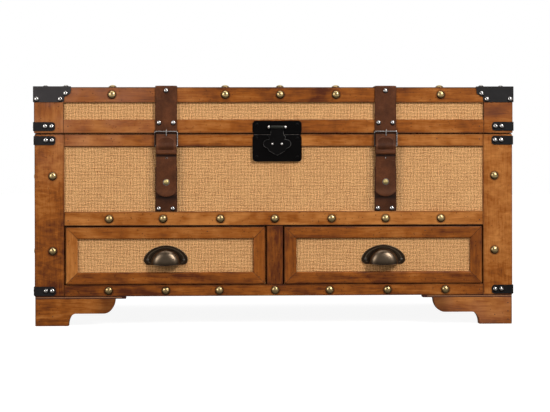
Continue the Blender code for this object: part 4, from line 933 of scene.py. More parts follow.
class CHEST_OT_nails(bpy.types.Operator):
    """Brass dome nails in the rails and posts, over the plain domes of the solids"""

    bl_idname = "chest.nails"
    bl_label = "Dome nails"

    def execute(self, context):
        need("front_mid_rail", "lid_front_frame")
        sizes = context.scene.chest_sizes
        brass = metal_finish("antique_brass", context.scene.chest_finishes.brass, 0.32,
                             (0.040, 0.020, 0.007), 0.80, 0.35)
        rail_low = BODY_LOW + (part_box("front_bottom_rail")[1].z - BODY_LOW) / 2
        groups = [([(x, FRONT, rail_low) for x in BOTTOM_NAILS], FORWARD),
                  ([(x, FRONT, MID_RAIL) for x in MID_NAILS], FORWARD),
                  ([(x, BACK, rail_low) for x in rail_nails((0,) * 7)], BACKWARD)]
        low, high = FRONT + STILE + FIT, BACK - STILE - FIT
        for side in (-1, 1):
            places = [(side * HALF, low + (high - low) * share, rail_low) for share in (0.2, 0.5, 0.8)]
            for face, outward in ((FRONT, FORWARD), (BACK, BACKWARD)):
                groups.append(([(side * (HALF - NAIL_INSET), face, z) for z in POST_NAILS], outward))
                places += [(side * HALF, face - outward[1] * NAIL_INSET, z) for z in POST_NAILS]
            groups.append((places, (side, 0, 0)))
        domes("body_dome_nails", groups, sizes.nail_radius, sizes.nail_rise, brass, "chest")

        nail_z = LID_HIGH - NAIL_DROP
        window = (FRONT + STILE, BACK - STILE)
        ys = [window[0] + (window[1] - window[0]) * share for share in (0.25, 0.75)]
        rows = (FRONT + NAIL_DROP + SLAT / 2, BACK - NAIL_DROP - SLAT / 2)
        top = [(x, y, LID_HIGH) for y in rows for x in LID_NAILS]
        top += [(side * (LID_HALF - NAIL_INSET), y, LID_HIGH) for side in (-1, 1) for y in ys]
        groups = [([(x, FRONT, nail_z) for x in LID_NAILS], FORWARD),
                  ([(x, BACK, nail_z) for x in LID_NAILS], BACKWARD), (top, UPWARD)]
        groups += [([(side * LID_HALF, y, nail_z) for y in ys], (side, 0, 0)) for side in (-1, 1)]
        domes("lid_dome_nails", groups, sizes.nail_radius, sizes.nail_rise, brass, "lid")
        return {"FINISHED"}


class CHEST_OT_irons(bpy.types.Operator):
    """Black corners and bands with their silver nails"""

    bl_idname = "chest.irons"
    bl_label = "Irons"

    def execute(self, context):
        need("lid_corner", "lid_band", "body_band")
        looks, radius = context.scene.chest_finishes, context.scene.chest_sizes.tack_radius
        # The right corners take a darker copy: painted shade
        iron = {"left": iron_finish("black_iron", looks.iron, shine=0.42),
                "right": iron_finish("black_iron_shaded_right", [c * 0.8 for c in looks.iron], shine=0.26)}
        band = iron_finish("black_bands", [c * 0.45 for c in looks.iron], shine=0.20)
        silver = metal_finish("silver_nails", looks.nickel, 0.24, (0.035, 0.03, 0.028), 0.9, 0.7)
        for word in SIDES:
            for end in ("front", "rear"):
                dress(f"lid_corner_{end}_{word}", iron[word])
            for node in ("body_band_lower", "body_band_upper", "lid_band"):
                dress(f"{node}_{word}", band)
        skin = 0.0015
        groups = {"chest": [], "lid": []}
        for node, body, half in (("body_band_lower_left", "chest", HALF),
                                 ("body_band_upper_left", "chest", HALF),
                                 ("lid_band_left", "lid", LID_HALF)):
            z = sum(corner.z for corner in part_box(node)) / 2
            for side in (-1, 1):
                places = [(side * (half - off), FRONT - skin, z) for off in (0.0215, 0.0335)]
                flank = [(side * (half + skin), FRONT + off, z) for off in (0.0235, 0.0335)]
                groups[body] += [(places, FORWARD), (flank, (side, 0, 0))]
        spots = ((0.0052, 0.0232), (0.0500, 0.0232), (0.0600, 0.0125))
        caps = ((0.0600, 0.0085), (0.0085, 0.0600), (0.0500, 0.0500), (0.0200, 0.0200))
        for outward, face in ((FORWARD, FRONT), (BACKWARD, BACK)):
            way = outward[1]
            for side in (-1, 1):
                front = [(side * (LID_HALF - u), face + way * skin, LID_HIGH - v) for u, v in spots]
                flank = [(side * (LID_HALF + skin), face - way * u, LID_HIGH - v) for u, v in spots[1:]]
                cap = [(side * (LID_HALF - u), face - way * v, LID_HIGH + skin) for u, v in caps]
                groups["lid"] += [(front, outward), (flank, (side, 0, 0)), (cap, UPWARD)]
        for body, faces in groups.items():
            domes(f"iron_nails_{body}", faces, radius, radius * 0.62, silver, body, steps=16)
        return {"FINISHED"}


def ended(grid, rim):
    """Closes both ends of a carried strap with a point in the middle of the end."""
    first, last = (np.repeat(row.mean(axis=1, keepdims=True), grid.shape[1], axis=1)
                   for row in (grid[:1], grid[-1:]))
    edge = np.ones((1, grid.shape[1]))
    return np.concatenate([first, grid, last]), np.concatenate([edge, rim, edge])


def carried(path, half_width, thickness, centre, steps=32):
    """A flat strap carried along a path in y and z, and how near each point is to its side edges.

    P(s, a) = path(s) + w(s) X sgn(cos a) |cos a|^0.28 + thickness/2 N(s) sgn(sin a) |sin a|^0.55.
    """
    ahead = np.gradient(path, axis=0)
    ahead /= np.linalg.norm(ahead, axis=1)[:, None]
    angle = circle(steps)
    flat, rise = eased(np.cos(angle), 0.28), eased(np.sin(angle), 0.55)
    width, thick = (np.broadcast_to(size, len(path))[:, None] for size in (half_width, thickness))
    grid = np.stack([centre + width * flat,
                     path[:, :1] - 0.5 * thick * rise * ahead[:, 1:],
                     path[:, 1:] + 0.5 * thick * rise * ahead[:, :1]], axis=-1)
    return ended(grid, np.tile(np.clip((np.abs(flat) - 0.90) * 10, 0, 1), (len(path), 1)))


def spaced(points, count=8, step=None, closed=False):
    """Evenly spaced points along straight runs: so many, or more if they are a step apart."""
    points = np.array(points, float)
    reach = np.concatenate([[0.0], np.cumsum(np.linalg.norm(np.diff(points, axis=0), axis=1))])
    if step:
        count = max(count, int(reach[-1] / step))
    along = np.linspace(0.0, reach[-1], count, endpoint=not closed)
    return np.stack([np.interp(along, reach, points[:, axis]) for axis in (0, 1)], axis=1)


def smooth_path(points, step, soft=2):
    """Evenly spaced points along straight runs, with the corners eased by a short running mean."""
    path = spaced(points, step=step)
    for _ in range(soft):
        path[1:-1] = (path[:-2] + 2 * path[1:-1] + path[2:]) / 4
    return path


class CHEST_OT_straps(bpy.types.Operator):
    """Leather straps: over the lid, the flaps with their chapes and snaps, and the bases"""

    bl_idname = "chest.straps"
    bl_label = "Leather straps"

    def execute(self, context):
        need("strap_base", "lid_strap", "strap_tail")
        nickel, thick = context.scene.chest_finishes.nickel, context.scene.chest_sizes.leather
        leather = leather_finish("brown_leather")
        # The base strap takes a darker copy of the leather: painted shade, as it lies in the recess
        # behind the flap
        dark = leather_finish("base_leather_shaded", worn=False, tone=0.66)
        lighter = leather_finish("chape_leather", tone=1.12)
        silver = metal_finish("strap_nails", nickel, 0.24, (0.045, 0.036, 0.032), 0.9, 0.7)
        brass = metal_finish("snap_brass", (0.56, 0.43, 0.18), 0.42, (0.15, 0.10, 0.035), 0.6, 0.3)
        half, middle = 0.0207, thick / 2 + FIT
        start = (FRONT + 0.030, LID_HIGH + middle)
        for word, x in STRAP_X.items():
            over = [start, (BACK + middle, LID_HIGH + middle), (BACK + middle, LID_LOW + 0.0005)]
            grid, rim = carried(smooth_path(over, 0.003), half, thick, x)
            made = piece(f"strap_over_lid_{word}", [grid], leather, "lid", around=True, rims=[rim])
            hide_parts(f"lid_strap_{word}")
            self.flap(word, x, half, thick, middle, start, leather)
            self.chape(word, x, thick, lighter)
            self.base(word, x, half, thick, dark)
            self.fittings(word, x, thick, silver, brass)
        return {"FINISHED"}

    def flap(self, word, x, half, thick, middle, start, leather):
        """Over the lid's front edge and down to a rounded tip, bending at the lid's nails.

        The tip is an arc of a circle: half its width at a height u is sqrt(r r - (r - u)(r - u)).
        It is burnished darker at the tip, and painted dark as shade under the chape's fold, below the
        lid and behind the buckle's side bars.
        """
        tail_low, tail_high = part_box(f"strap_tail_{word}")
        tip, fold, face = tail_low.z, tail_high.z, FRONT - middle
        path = smooth_path([start, (face, LID_HIGH + middle), (face, tip + 0.0002)], 0.0009, 4)[::-1]
        up = path[:, 1] - tip
        blend = np.clip((BODY_HIGH - 0.018 - path[:, 1]) / 0.02, 0, 1)
        width = half + (0.0197 - half) * blend * blend * (3 - 2 * blend)
        arc = 0.0237
        square = arc ** 2 - (arc - np.clip(up, 0, arc)) ** 2
        width = np.minimum(width, np.sqrt(np.clip(square, 1e-8, None)))
        wave = 0.00025 * np.sin(path[:, 1] * 95 + x * 9) * np.clip((fold - path[:, 1]) / 0.05, 0, 1)
        path[:, 0] -= np.clip(wave, 0, None)
        grid, rim = carried(path, width, thick * (1 - 0.35 * bump(up, 0.0, 0.0025)), x, 36)
        z = grid[:, :, 2]
        # Painted shadow in bands: under the chape's fold, and under the buckle's top bar below the lid
        fold_shadows = 3.6 * (bump(z, BODY_HIGH - 0.0410, 0.0018) + bump(z, BODY_HIGH + 0.0020, 0.0012))
        # Painted shadow at the flap's edges behind the buckle's side bars
        behind = 2.0 * np.clip((np.abs(grid[:, :, 0] - x) - 0.0186) / 0.0004, 0, 1)
        behind *= (z > BODY_HIGH - 0.026) * (z < BODY_HIGH + 0.004)
        # The burnished tip, and the painted shadows
        burnish_and_shadow = np.maximum(np.maximum(np.clip(1 - (z - tip) / 0.0016, 0, 1), fold_shadows), behind)
        pale = (0.30 if word == "right" else 0.16) * bump(z, tip + 0.0090, 0.0075)
        made = piece(f"strap_flap_{word}", [grid], leather, around=True, crowns=[pale],
                     rims=[np.maximum(rim * 0.5, burnish_and_shadow * 0.6)])
        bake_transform(made)
        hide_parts(f"strap_tail_{word}")

    def chape(self, word, x, thick, leather):
        """The leather folded round the buckle's bar: a plate, an arched tab on it, and the fold below.

        Its front is y = back - lift(edge) - tab(x, z) - fold(z), each a soft step or a low hump, and
        a hump over the buckle's bar.
        """
        half = 0.0198
        low, high, crease = BODY_HIGH - 0.0388, BODY_HIGH + 0.0006, BODY_HIGH - 0.0290
        across, up = np.meshgrid(np.linspace(-1, 1, 61), np.linspace(0, 1, 81), indexing="xy")
        z = low + (high - low) * up
        back = FRONT - thick - 0.0004
        aside = np.abs(across) * half
        edge = np.minimum(half - aside, np.minimum(up, 1 - up) * (high - low) * 1.4)
        lift = 0.0022 * np.clip(edge / 0.0013, 0, 1) ** 0.5
        arch = BODY_HIGH - 0.0052 - 0.0058 * (aside / 0.0143) ** 2.6
        inside = np.minimum((0.0146 - aside) / 0.0007, (arch - z) / 0.0007)
        tab = 0.0009 * np.clip(inside, 0, 1) * np.clip((z - crease) / 0.0012, 0, 1)
        fold = 0.0019 * np.sqrt(np.clip(1 - ((z - (low + crease) / 2) / (crease - low) * 2) ** 2, 0, 1))
        bar = 0.0019 * bump(z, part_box(f"buckle_{word}")[0].z + 0.0015, 0.0048)
        y = back - lift - (tab + np.maximum(fold, bar)) * np.clip(edge / 0.0010, 0, 1)
        front = np.stack([x + across * half, y, z], axis=-1)
        rear = front.copy()
        rear[:, :, 1] = back + 0.0004
        walls = [np.stack([front[end], rear[end]]) for end in (0, -1)]
        walls += [np.stack([front[:, end], rear[:, end]]) for end in (0, -1)]
        # Rim: burnished edges, painted shade in the crease, the tab's darker dye; crown: painted
        # highlights on the arch's edge and the fold, the plate round the tab paler
        rim = np.clip(1 - edge / 0.0012, 0, 1) * 0.7 + 0.12 * bump(z, crease, 0.0010)
        rim += 0.55 * np.clip(inside, 0, 1) * (z > crease)
        crown = 0.30 * np.clip(1 - np.abs(inside + 0.7), 0, 1) * (z > crease + 0.006)
        crown += 0.22 * bump(z, low + 0.0042, 0.0016) * np.clip(edge / 0.002, 0, 1)
        crown += 0.15 * np.clip(-inside, 0, 1) * np.clip(edge / 0.001, 0, 1) * (z > crease)
        made = piece(f"chape_{word}", [front, rear] + walls, leather, f"strap_flap_{word}",
                     rims=[rim] + [1.0] * 5, crowns=[crown] + [0.0] * 5, smooth=50)

    def base(self, word, x, half, thick, leather):
        """The fixed lower strap in the recess, under the flap and in its shadow."""
        low, high = (corner.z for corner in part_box(f"strap_base_{word}"))
        face = FRONT + SLAT - FIT - thick / 2
        path = smooth_path([(face, low + 0.0003), (face, high)], 0.0016, 0)[::-1]
        grid, rim = carried(path, half, thick, x)
        # Painted shadow on the base below the flap's tip
        shadow = bump(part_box(f"strap_tail_{word}")[0].z - grid[:, :, 2], 0.0010, 0.0050)
        made = piece(f"strap_base_leather_{word}", [grid], leather, "chest", around=True,
                     rims=[np.maximum(rim, 1.6 * shadow)])
        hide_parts(f"strap_base_{word}")

    def fittings(self, word, x, thick, silver, brass):
        """Silver nails, the brass snap cap in its silver ring, its stud and the eyelet."""
        flap, skin, base_skin = f"strap_flap_{word}", FRONT - thick - FIT, FRONT + SLAT - FIT - thick
        lid = [(x - 0.0136, skin, LID_RAIL_HIGH - 0.0060), (x + 0.0136, skin, LID_RAIL_HIGH - 0.0060),
               (x, skin, LID_HIGH - 0.0071)]
        base = [(x + off, base_skin, MID_HIGH + 0.0058) for off in (-0.0144, 0.0124)]
        front_domes(f"strap_nails_lid_{word}", lid, 0.0049, 0.0030, silver, "lid")
        front_domes(f"strap_nails_base_{word}", base, 0.0049, 0.0030, silver, "chest")
        snap, cap = (x, skin + 0.0002, SNAP), dome_profile(0.0057, 0.0036)
        ring = [(0.0050, -0.0003), (0.0062, -0.0003), (0.0064, 0.0002), (0.0061, 0.0006),
                (0.0056, 0.0007), (0.0050, 0.0004)]
        stud = [(0.0, 0.0), (0.0046, 0.0), (0.0046, 0.0008), (0.0026, 0.0010), (0.0024, 0.0016),
                (0.0, 0.0018)]
        eyelet = [(0.0008, -0.0002), (0.0016, -0.0002), (0.0020, 0.0003), (0.0016, 0.0006),
                  (0.0010, 0.0004)]
        hole = (x + 0.0006, skin + 0.0002, BODY_HIGH - 0.0445)
        piece(f"snap_ring_{word}", turned(ring, [snap], FORWARD, 28), silver, flap, around=True,
              along=True, crowns=1.0)
        piece(f"snap_cap_{word}", turned(cap, [snap], FORWARD, 28), brass, flap, around=True,
              crowns=[dome_crown(cap, 28)], smooth=60)
        piece(f"snap_stud_{word}", turned(stud, [(x, base_skin, SNAP)], FORWARD), silver, "chest",
              around=True, crowns=1.0)
        piece(f"eyelet_{word}", turned(eyelet, [hole], FORWARD, 18), silver, flap, around=True,
              along=True, crowns=0.3)


def ring_path(half_width, low, high, corner):
    """A rectangle in x and z with round corners: quarter circles joined by straight runs."""
    angle = np.linspace(0.0, math.pi / 2, 12)
    arcs = []
    for index, (sx, z) in enumerate(((1, high - corner), (-1, high - corner), (-1, low + corner),
                                     (1, low + corner))):
        turn = angle + index * math.pi / 2
        arcs.append(np.stack([sx * (half_width - corner) + corner * np.cos(turn),
                              z + corner * np.sin(turn)], axis=1))
    return np.concatenate(arcs)


def sideways(path):
    """The way across a closed path, at each of its points."""
    ahead = np.roll(path, -1, axis=0) - np.roll(path, 1, axis=0)
    ahead /= np.linalg.norm(ahead, axis=1)[:, None]
    return np.stack([ahead[:, 1], -ahead[:, 0]], axis=1)


def hoop(path, centre, across, deep, square=0.75):
    """A closed bar carried round a path in x and z, its section an ellipse pressed towards a square.

    P(s, a) = centre + path(s) + across sgn(cos a) |cos a|^k N(s) + deep sgn(sin a) |sin a|^k Y.
    """
    angle = circle(14)
    offset = across * eased(np.cos(angle), square)
    normal = sideways(path)
    deep = np.broadcast_to(centre[1] + deep * eased(np.sin(angle), square), (len(path), len(angle)))
    return np.stack([centre[0] + path[:, :1] + offset * normal[:, :1], deep,
                     centre[2] + path[:, 1:] + offset * normal[:, 1:]], axis=-1)


class CHEST_OT_buckles(bpy.types.Operator):
    """Wire buckles with their prongs"""

    bl_idname = "chest.buckles"
    bl_label = "Buckles"

    def execute(self, context):
        need("buckle")
        nickel = metal_finish("buckle_nickel", context.scene.chest_finishes.nickel, 0.26,
                              (0.030, 0.022, 0.018), 0.95)
        for word, x in STRAP_X.items():
            low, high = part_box(f"buckle_{word}")
            bar_y, top, wire = high.y - 0.0015, BODY_HIGH + 0.0069, 0.0014
            path = ring_path((high.x - low.x) / 2 - wire, low.z + wire, top - wire, 0.0030)
            ring = hoop(path, (x, bar_y, 0.0), 0.0010, 0.0013)
            # Paler on the right and on the top bar, darker on the left: painted light and shade, carried
            # as tarnish
            worn = np.clip((ring[:, :, 0] - x) / (high.x - low.x) + 0.36, 0.10, 0.62)
            made = piece(f"buckle_ring_{word}", [ring], nickel, f"buckle_ring_{word}", around=True,
                         along=True, crowns=[np.where(ring[:, :, 2] > top - 0.004, 0.52, worn)])
            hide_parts(f"buckle_{word}")
            made = piece(f"buckle_prong_{word}", [self.prong(x, bar_y, top)], nickel,
                         f"buckle_ring_{word}", around=True, crowns=0.45)
        return {"FINISHED"}

    def prong(self, x, bar_y, top):
        """A tapering pin from under the chape, up and over the top bar.

        P(s, a) = (x + r cos a, y(s) + r sin a, z(s)), with z straight up, y bulging forward by half a
        sine, and r falling from foot to tip, rounded at both ends by 1 - (2 s - 1)^10.
        """
        s = np.linspace(0.0, 1.0, 26)[:, None]
        angle = circle(12)
        y = bar_y - 0.0021 - 0.0006 * np.sin(math.pi * np.clip(s * 1.05, 0, 1)) + 0.0004 * s
        ends = np.sqrt(np.clip(1.0 - ((s - 0.5) * 2) ** 10, 1e-4, 1))
        radius = 0.00115 * np.clip(1.15 - 0.45 * s, 0, 1) * ends
        grid = np.stack([x + 0.0004 + radius * np.cos(angle), y + radius * np.sin(angle),
                         top - 0.0105 + 0.0131 * s + 0.0 * angle], axis=-1)
        return ended(grid, np.zeros(grid.shape[:2]))[0]


def plate(outline, centre, thick, bevel, place, swell=0.0):
    """A flat plate in x and z with a rounded edge, from its outline about a centre.

    Rows run from the middle of the back, over the edge, to the middle of the front. A row is the
    outline moved inwards by a quarter circle of the bevel's radius, and swell raises the middle.
    """
    centre = np.array(centre)
    inward = sideways(outline)
    inward *= np.sign((inward * (centre - outline)).sum(axis=1))[:, None]
    rows = [(centre + 0.0 * outline, 0.0), (outline, 0.0)]
    rows += [(outline + inward * bevel * (1 - np.cos(a)), thick - bevel + bevel * np.sin(a))
             for a in np.linspace(0.0, math.pi / 2, 5)]
    inner = rows[-1][0]
    rows += [(centre + (inner - centre) * share, thick + swell * (1 - share ** 2))
             for share in (0.90, 0.84, 0.78, 0.5, 0.25, 0.0)]
    return np.stack([np.insert(points, 1, -height, axis=1) for points, height in rows]) + np.array(place)


def hasp_outline():
    """Outline of the hasp in metres right of and above the rod: its right half, then mirrored.

    The half runs from the neck round a side lobe, an arc of 8.3 mm radius, and in to the tip.
    """
    neck = [(0.0124, 0.002), (0.0124, -0.008), (0.0126, -0.0140), (0.0150, -0.0165), (0.0164, -0.0188),
            (0.0158, -0.0210), (0.0147, -0.0222)]
    turn = np.radians(np.linspace(98, -82, 14))
    lobe = np.stack([0.0182 + 0.0083 * np.cos(turn), -0.0318 + 0.0083 * np.sin(turn)], axis=1)
    run = [(0.0172, -0.0418), (0.0162, -0.0452), (0.0105, -0.0486), (0.0050, -0.0518), (0.0014, -0.0536)]
    half = np.concatenate([neck, lobe, run])
    return spaced(np.concatenate([half, half[::-1] * (-1.0, 1.0), half[:1]]), 160, closed=True)


class CHEST_OT_latch(bpy.types.Operator):
    """Latch plates, rod with ball ends, and the hasp with its studs"""

    bl_idname = "chest.latch"
    bl_label = "Latch"

    def execute(self, context):
        need("latch_lid_plate", "latch_body_plate", "hasp")
        looks = context.scene.chest_finishes
        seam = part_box("latch_body_plate")[1].z

        def lip(s):
            """A painted highlight along the body plate's upper edge, beside the hasp."""
            line = (0.0006 - abs(s.z - seam + 0.0004)).ramp(0.0, 0.0004)
            return line * (abs(s.x - LATCH_X) > HASP_NECK) * (s.z < seam + 0.0002) * 0.6

        black = iron_finish("black_latch", looks.latch, rough=0.42, wear=0.1, shine=0.05, lines=(lip,))
        edge = iron_finish("black_hasp", [c * 1.2 for c in looks.latch], rough=0.36, wear=0.1,
                           shine=0.08)
        steel = iron_finish("rod_steel", (0.014, 0.015, 0.011), rough=0.40, wear=0.4, shine=0.2)
        silver = metal_finish("latch_silver", looks.nickel, 0.22, (0.10, 0.09, 0.08), 0.6)
        for node, body, below, above in (("latch_body_plate", "chest", 0.0004, -0.0014),
                                         ("latch_lid_plate", "lid", -0.0014, -0.0012)):
            dress(node, black)
            low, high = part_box(node)
            path = ring_path((high.x - low.x) / 2 + 0.0003, low.z - below, high.z + above, 0.0052)
            roll = hoop(path, ((low.x + high.x) / 2, FRONT - 0.0007, 0.0), 0.0014, 0.0008, square=0.9)
            piece(f"{node}_rolled_edge", [roll], black, body, around=True, along=True)

        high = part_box("hasp")[1]
        rod_z, back = high.z - 0.0030, high.y
        shield = plate(hasp_outline(), (0.0, -0.0300), 0.0020, 0.0008,
                       (LATCH_X, back - 0.0002, rod_z), 0.0004)
        # Painted highlight along the hasp's lower bevel, given as the rim attribute
        rim = np.zeros(shield.shape[:2])
        rim[4:6] = 0.95
        rim *= shield[:, :, 2] < rod_z - 0.008
        barrel = [(0.0019, 0.0), (0.0029, 0.0), (0.0031, 0.0004), (0.0031, 0.0246), (0.0029, 0.0250),
                  (0.0019, 0.0250)]
        made = piece("hasp_shield", [shield], edge, "hasp_flap", around=True, smooth=35, rims=[rim])
        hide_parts("hasp")
        start = (LATCH_X - HASP_NECK, back - 0.0030, rod_z)
        piece("hasp_barrel", turned(barrel, [start], (1, 0, 0), 28), steel, "hasp_flap", around=True,
              along=True)
        studs = [(LATCH_X + side * 0.0090, back - 0.0023, rod_z - 0.0320) for side in (-1, 1)]
        front_domes("hasp_studs", studs, 0.0027, 0.0022, silver, "hasp_flap")
        balls = []
        for side in (-1, 1):
            balls += turned(self.ball(), [(LATCH_X + side * 0.0158, back - 0.0030, rod_z)], (side, 0, 0))
        piece("rod_balls", balls, silver, "lid", around=True, crowns=1.0)
        nails = {"lid": [(side * 0.0385, LID_LOW + 0.0165) for side in (-1, 1)],
                 "chest": [(side * 0.0390, BODY_HIGH - off)
                           for side in (-1, 1) for off in (0.0072, 0.0430)]}
        for body, spots in nails.items():
            places = [(LATCH_X + x, FRONT - 0.0018, z) for x, z in spots]
            front_domes(f"latch_nails_{body}", places, 0.0030, 0.0016, edge, body)
        return {"FINISHED"}

    def ball(self):
        """A ball with a short neck towards the rod: (r sin t, -r cos t), t from 0.35 to pi."""
        t = np.linspace(0.35, math.pi, 12)
        curve = np.stack([0.0033 * np.sin(t), -0.0033 * np.cos(t)], axis=1)
        return np.concatenate([[(0.0, -0.0032)], curve])


class CHEST_OT_cup_pulls(bpy.types.Operator):
    """Cup pulls: an arched plate with a bead, the cup, and two screws"""

    bl_idname = "chest.cup_pulls"
    bl_label = "Cup pulls"

    def execute(self, context):
        need("drawer_pull")
        bronze = metal_finish("dark_bronze", context.scene.chest_finishes.bronze, 0.35,
                              (0.022, 0.012, 0.006), 0.85)
        screw = metal_finish("pull_screws", (0.10, 0.085, 0.07), 0.42, (0.02, 0.016, 0.013), 0.6)
        for word in SIDES:
            low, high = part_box(f"drawer_pull_{word}")
            x, back, line, body = (low.x + high.x) / 2, high.y, high.z - 0.0273, f"drawer_{word}"
            rim = self.rim(x, back, line)
            crown = np.zeros(rim.shape[:2])
            # Paler bevel and bead rows: worn brass, and a painted highlight along them
            crown[3:6], crown[8] = 0.55, 0.62
            made = piece(f"pull_plate_{word}", [rim], bronze, body, around=True, crowns=[crown],
                         smooth=50)
            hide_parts(f"drawer_pull_{word}")
            cup, crowns = self.cup(x, back - 0.0012, line)
            made = piece(f"pull_cup_{word}", cup, bronze, body, crowns=crowns, smooth=60)
            places = [(x + side * 0.0343, back - 0.0020, line - 0.0006) for side in (-1, 1)]
            front_domes(f"pull_screws_{word}", places, 0.0031, 0.0016, screw, body, 18)
        return {"FINISHED"}

    def rim(self, x, back, line):
        """Arch on top, a round ear at each end: the plate behind the cup.

        P(t) = (half sgn(cos t) |cos t|^k, arch (sin t)^k), a superellipse, above quarter ellipses.
        """
        half, arch, ear, drop, power = 0.0421, 0.0273, 0.0085, 0.0098, 2.0 / 1.80
        top = np.linspace(0, math.pi, 60)
        left = np.linspace(math.pi, 1.5 * math.pi, 12)[1:]
        right = np.linspace(1.5 * math.pi, 2 * math.pi, 12)[:-1]
        outline = np.concatenate([
            np.stack([half * eased(np.cos(top), power), arch * np.abs(np.sin(top)) ** power], axis=1),
            np.stack([-half + ear + ear * np.cos(left), drop * np.sin(left)], axis=1),
            np.stack([half - ear + ear * np.cos(right), drop * np.sin(right)], axis=1)])
        return plate(outline, (0.0, 0.006), 0.0024, 0.0011, (x, back, line), -0.0006)

    def cup(self, x, back, line):
        """Half a dome with a flattened front and steep shoulders, open below, outside and inside.

        P(t, a) = (W r cos a, -D (cos t)^k, low + (H - low) r sin a) with r = (sin t)^k, t from the
        middle of the lip out to the plate and a from the right end of the lip over the top to the
        left. The lip hangs lower in the middle: low = -8 mm - 3 mm (1 - r r cos a cos a).
        """
        t = np.concatenate([np.linspace(0.0, 1.2, 22), np.linspace(1.26, math.pi / 2, 8)])
        turn, out = np.meshgrid(np.linspace(0.0, math.pi, 41), t, indexing="xy")
        power = 2.0 / 3.1
        reach = np.sin(out) ** power
        height = reach * np.sin(turn)
        low = -0.0080 - 0.0030 * (1.0 - (reach * np.cos(turn)) ** 2)

        def shell(wide, deep, high, lift):
            return np.stack([x + wide * reach * np.cos(turn),
                             back - deep * np.abs(np.cos(out)) ** power,
                             line + low + lift + (high - low) * height], axis=-1)

        outer = shell(0.0290, 0.0221, 0.0208, 0.0)
        inner = shell(0.0274, 0.0205, 0.0190, 0.0002)
        lips = [np.stack([outer[:, end], inner[:, end]]) for end in (0, -1)]
        seat = np.stack([outer[-1], inner[-1]])
        # Painted shade: darker low down and at the top, damping the top lamp's highlight; darker at the
        # shoulder's edge: tarnish in its groove
        crown = 0.12 + 0.88 * np.clip((height - 0.02) / 0.45, 0, 1)
        crown *= 1.0 - 0.9 * np.clip((reach - 0.86) / 0.12, 0, 1)
        crown *= 1.0 - 0.65 * np.sin(turn) ** 8 * np.clip((reach - 0.5) / 0.3, 0, 1)
        return [outer, inner, *lips, seat], [crown, 0.0, 0.85, 0.85, 0.0]


class CHEST_OT_ironmongery(bpy.types.Operator):
    """Back hinges with their screws, and the folding stay inside"""

    bl_idname = "chest.ironmongery"
    bl_label = "Hinges and stay"

    def execute(self, context):
        need("hinge_body_leaf", "hinge_lid_leaf", "stay_")
        looks = context.scene.chest_finishes
        brass = metal_finish("hinge_brass", looks.brass, 0.34, (0.20, 0.14, 0.06), 0.3)
        screw = metal_finish("hinge_screws", looks.brass, 0.40, (0.12, 0.085, 0.04), 0.4)
        steel = iron_finish("stay_iron", (0.05, 0.048, 0.047), rough=0.42, wear=0.8)
        for word in SIDES:
            for owner, body in (("body", "chest"), ("lid", "lid")):
                node = f"hinge_{owner}_leaf_{word}"
                dress(node, brass)
                low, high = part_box(node)
                z = low.z + 0.0085 if owner == "body" else high.z - 0.0085
                places = [((low.x + high.x) / 2 + off, low.y + 0.0015, z)
                          for off in (-0.024, 0.0, 0.024)]
                domes(f"hinge_screws_{owner}_{word}", [(places, BACKWARD)], 0.0034, 0.0009, screw, body,
                      steps=16)
        dress("stay_upper_arm", steel)
        dress("stay_lower_arm", steel)
        self.seal()
        return {"FINISHED"}

    def seal(self):
        """A near-black felt strip along the body's rim, just below the lid, that stands in for the shade
        in the gap there: a bar carried round in x and y.
        """
        shader = Finish("gap_shade_felt")
        felt = shader.finish((0.012, 0.007, 0.005), 0.95, height=shader.noise(900.0, 3.0, 0.7),
                             depth=0.0003, Specular_IOR_Level=0.05)
        middle = (BACK + FRONT) / 2
        path = ring_path(HALF - 0.0046, FRONT + 0.0050 - middle, BACK - 0.0050 - middle, 0.0030)
        bar = hoop(path, (0.0, 0.0, middle), 0.0044, 0.0010, square=0.25)[:, :, [0, 2, 1]]
        bar[:, :, 2] += BODY_HIGH + 0.0009
        piece("gap_shade_strip", [bar], felt, "chest", around=True, along=True)


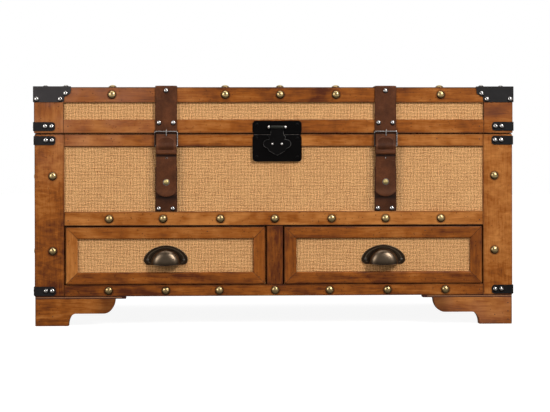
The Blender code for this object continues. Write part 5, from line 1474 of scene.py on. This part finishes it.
class CHEST_OT_pin_holes(bpy.types.Operator):
    """Filled pin holes in the rails, the mouldings and the feet"""

    bl_idname = "chest.pin_holes"
    bl_label = "Pin holes"

    def execute(self, context):
        need("drawer_moulding")
        wax = Finish("pin_wax").finish((0.018, 0.007, 0.004), 0.6)
        radius, rise = 0.0011, 0.0001
        end = HALF - STILE - 0.0075
        chest = []
        for side in (-1, 1):
            chest += [(side * end, FRONT, PANEL_HIGH + 0.0140), (side * end, FRONT, BODY_LOW + 0.0105),
                      (side * (end - 0.082), FRONT, PANEL_HIGH + 0.0150),
                      (side * end, FRONT, MID_RAIL - 0.003)]
            chest += [(side * (HALF - off), FRONT + 0.001, z) for off, z in (
                (0.0085, 0.0405), (0.0085, 0.0245), (0.0085, 0.0090), (0.034, 0.018))]
        lid = [(side * end, FRONT, LID_LOW + 0.0130) for side in (-1, 1)]
        front_domes("pin_holes_body", chest, radius, rise, wax, "chest", 10)
        front_domes("pin_holes_lid", lid, radius, rise, wax, "lid", 10)
        for word in SIDES:
            low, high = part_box(f"drawer_moulding_{word}")
            middle = (low.x + high.x) / 2
            places = [(x, low.y, z) for x, z in (
                (low.x + 0.012, low.z + 0.012), (high.x - 0.012, low.z + 0.014),
                (middle - 0.062, low.z + 0.0115), (middle + 0.08, high.z - 0.009))]
            front_domes(f"pin_holes_drawer_{word}", places, 0.0010, rise, wax, f"drawer_{word}", 10)
        return {"FINISHED"}


STEPS = (CHEST_OT_stage, CHEST_OT_woodwork, CHEST_OT_burlap, CHEST_OT_nails, CHEST_OT_irons,
         CHEST_OT_straps, CHEST_OT_buckles, CHEST_OT_latch, CHEST_OT_cup_pulls, CHEST_OT_ironmongery,
         CHEST_OT_pin_holes)


class CHEST_PT_panel(bpy.types.Panel):
    """Sizes, finishes and steps of the chest"""

    bl_label = "Storage chest"
    bl_space_type = "VIEW_3D"
    bl_region_type = "UI"
    bl_category = "Chest"

    def draw(self, context):
        layout = self.layout
        for group in (context.scene.chest_sizes, context.scene.chest_finishes):
            for key in group.__annotations__:
                layout.prop(group, key)
        for step in STEPS:
            layout.operator(step.bl_idname)


CLASSES = (ChestSizes, ChestFinishes, *STEPS, CHEST_PT_panel)


def register():
    for cls in CLASSES:
        bpy.utils.register_class(cls)
    bpy.types.Scene.chest_sizes = bpy.props.PointerProperty(type=ChestSizes)
    bpy.types.Scene.chest_finishes = bpy.props.PointerProperty(type=ChestFinishes)


def unregister():
    del bpy.types.Scene.chest_finishes
    del bpy.types.Scene.chest_sizes
    for cls in reversed(CLASSES):
        bpy.utils.unregister_class(cls)


def main():
    register()
    for step in STEPS:
        getattr(bpy.ops.chest, step.bl_idname.split(".")[1])()


if __name__ == "__main__":
    main()
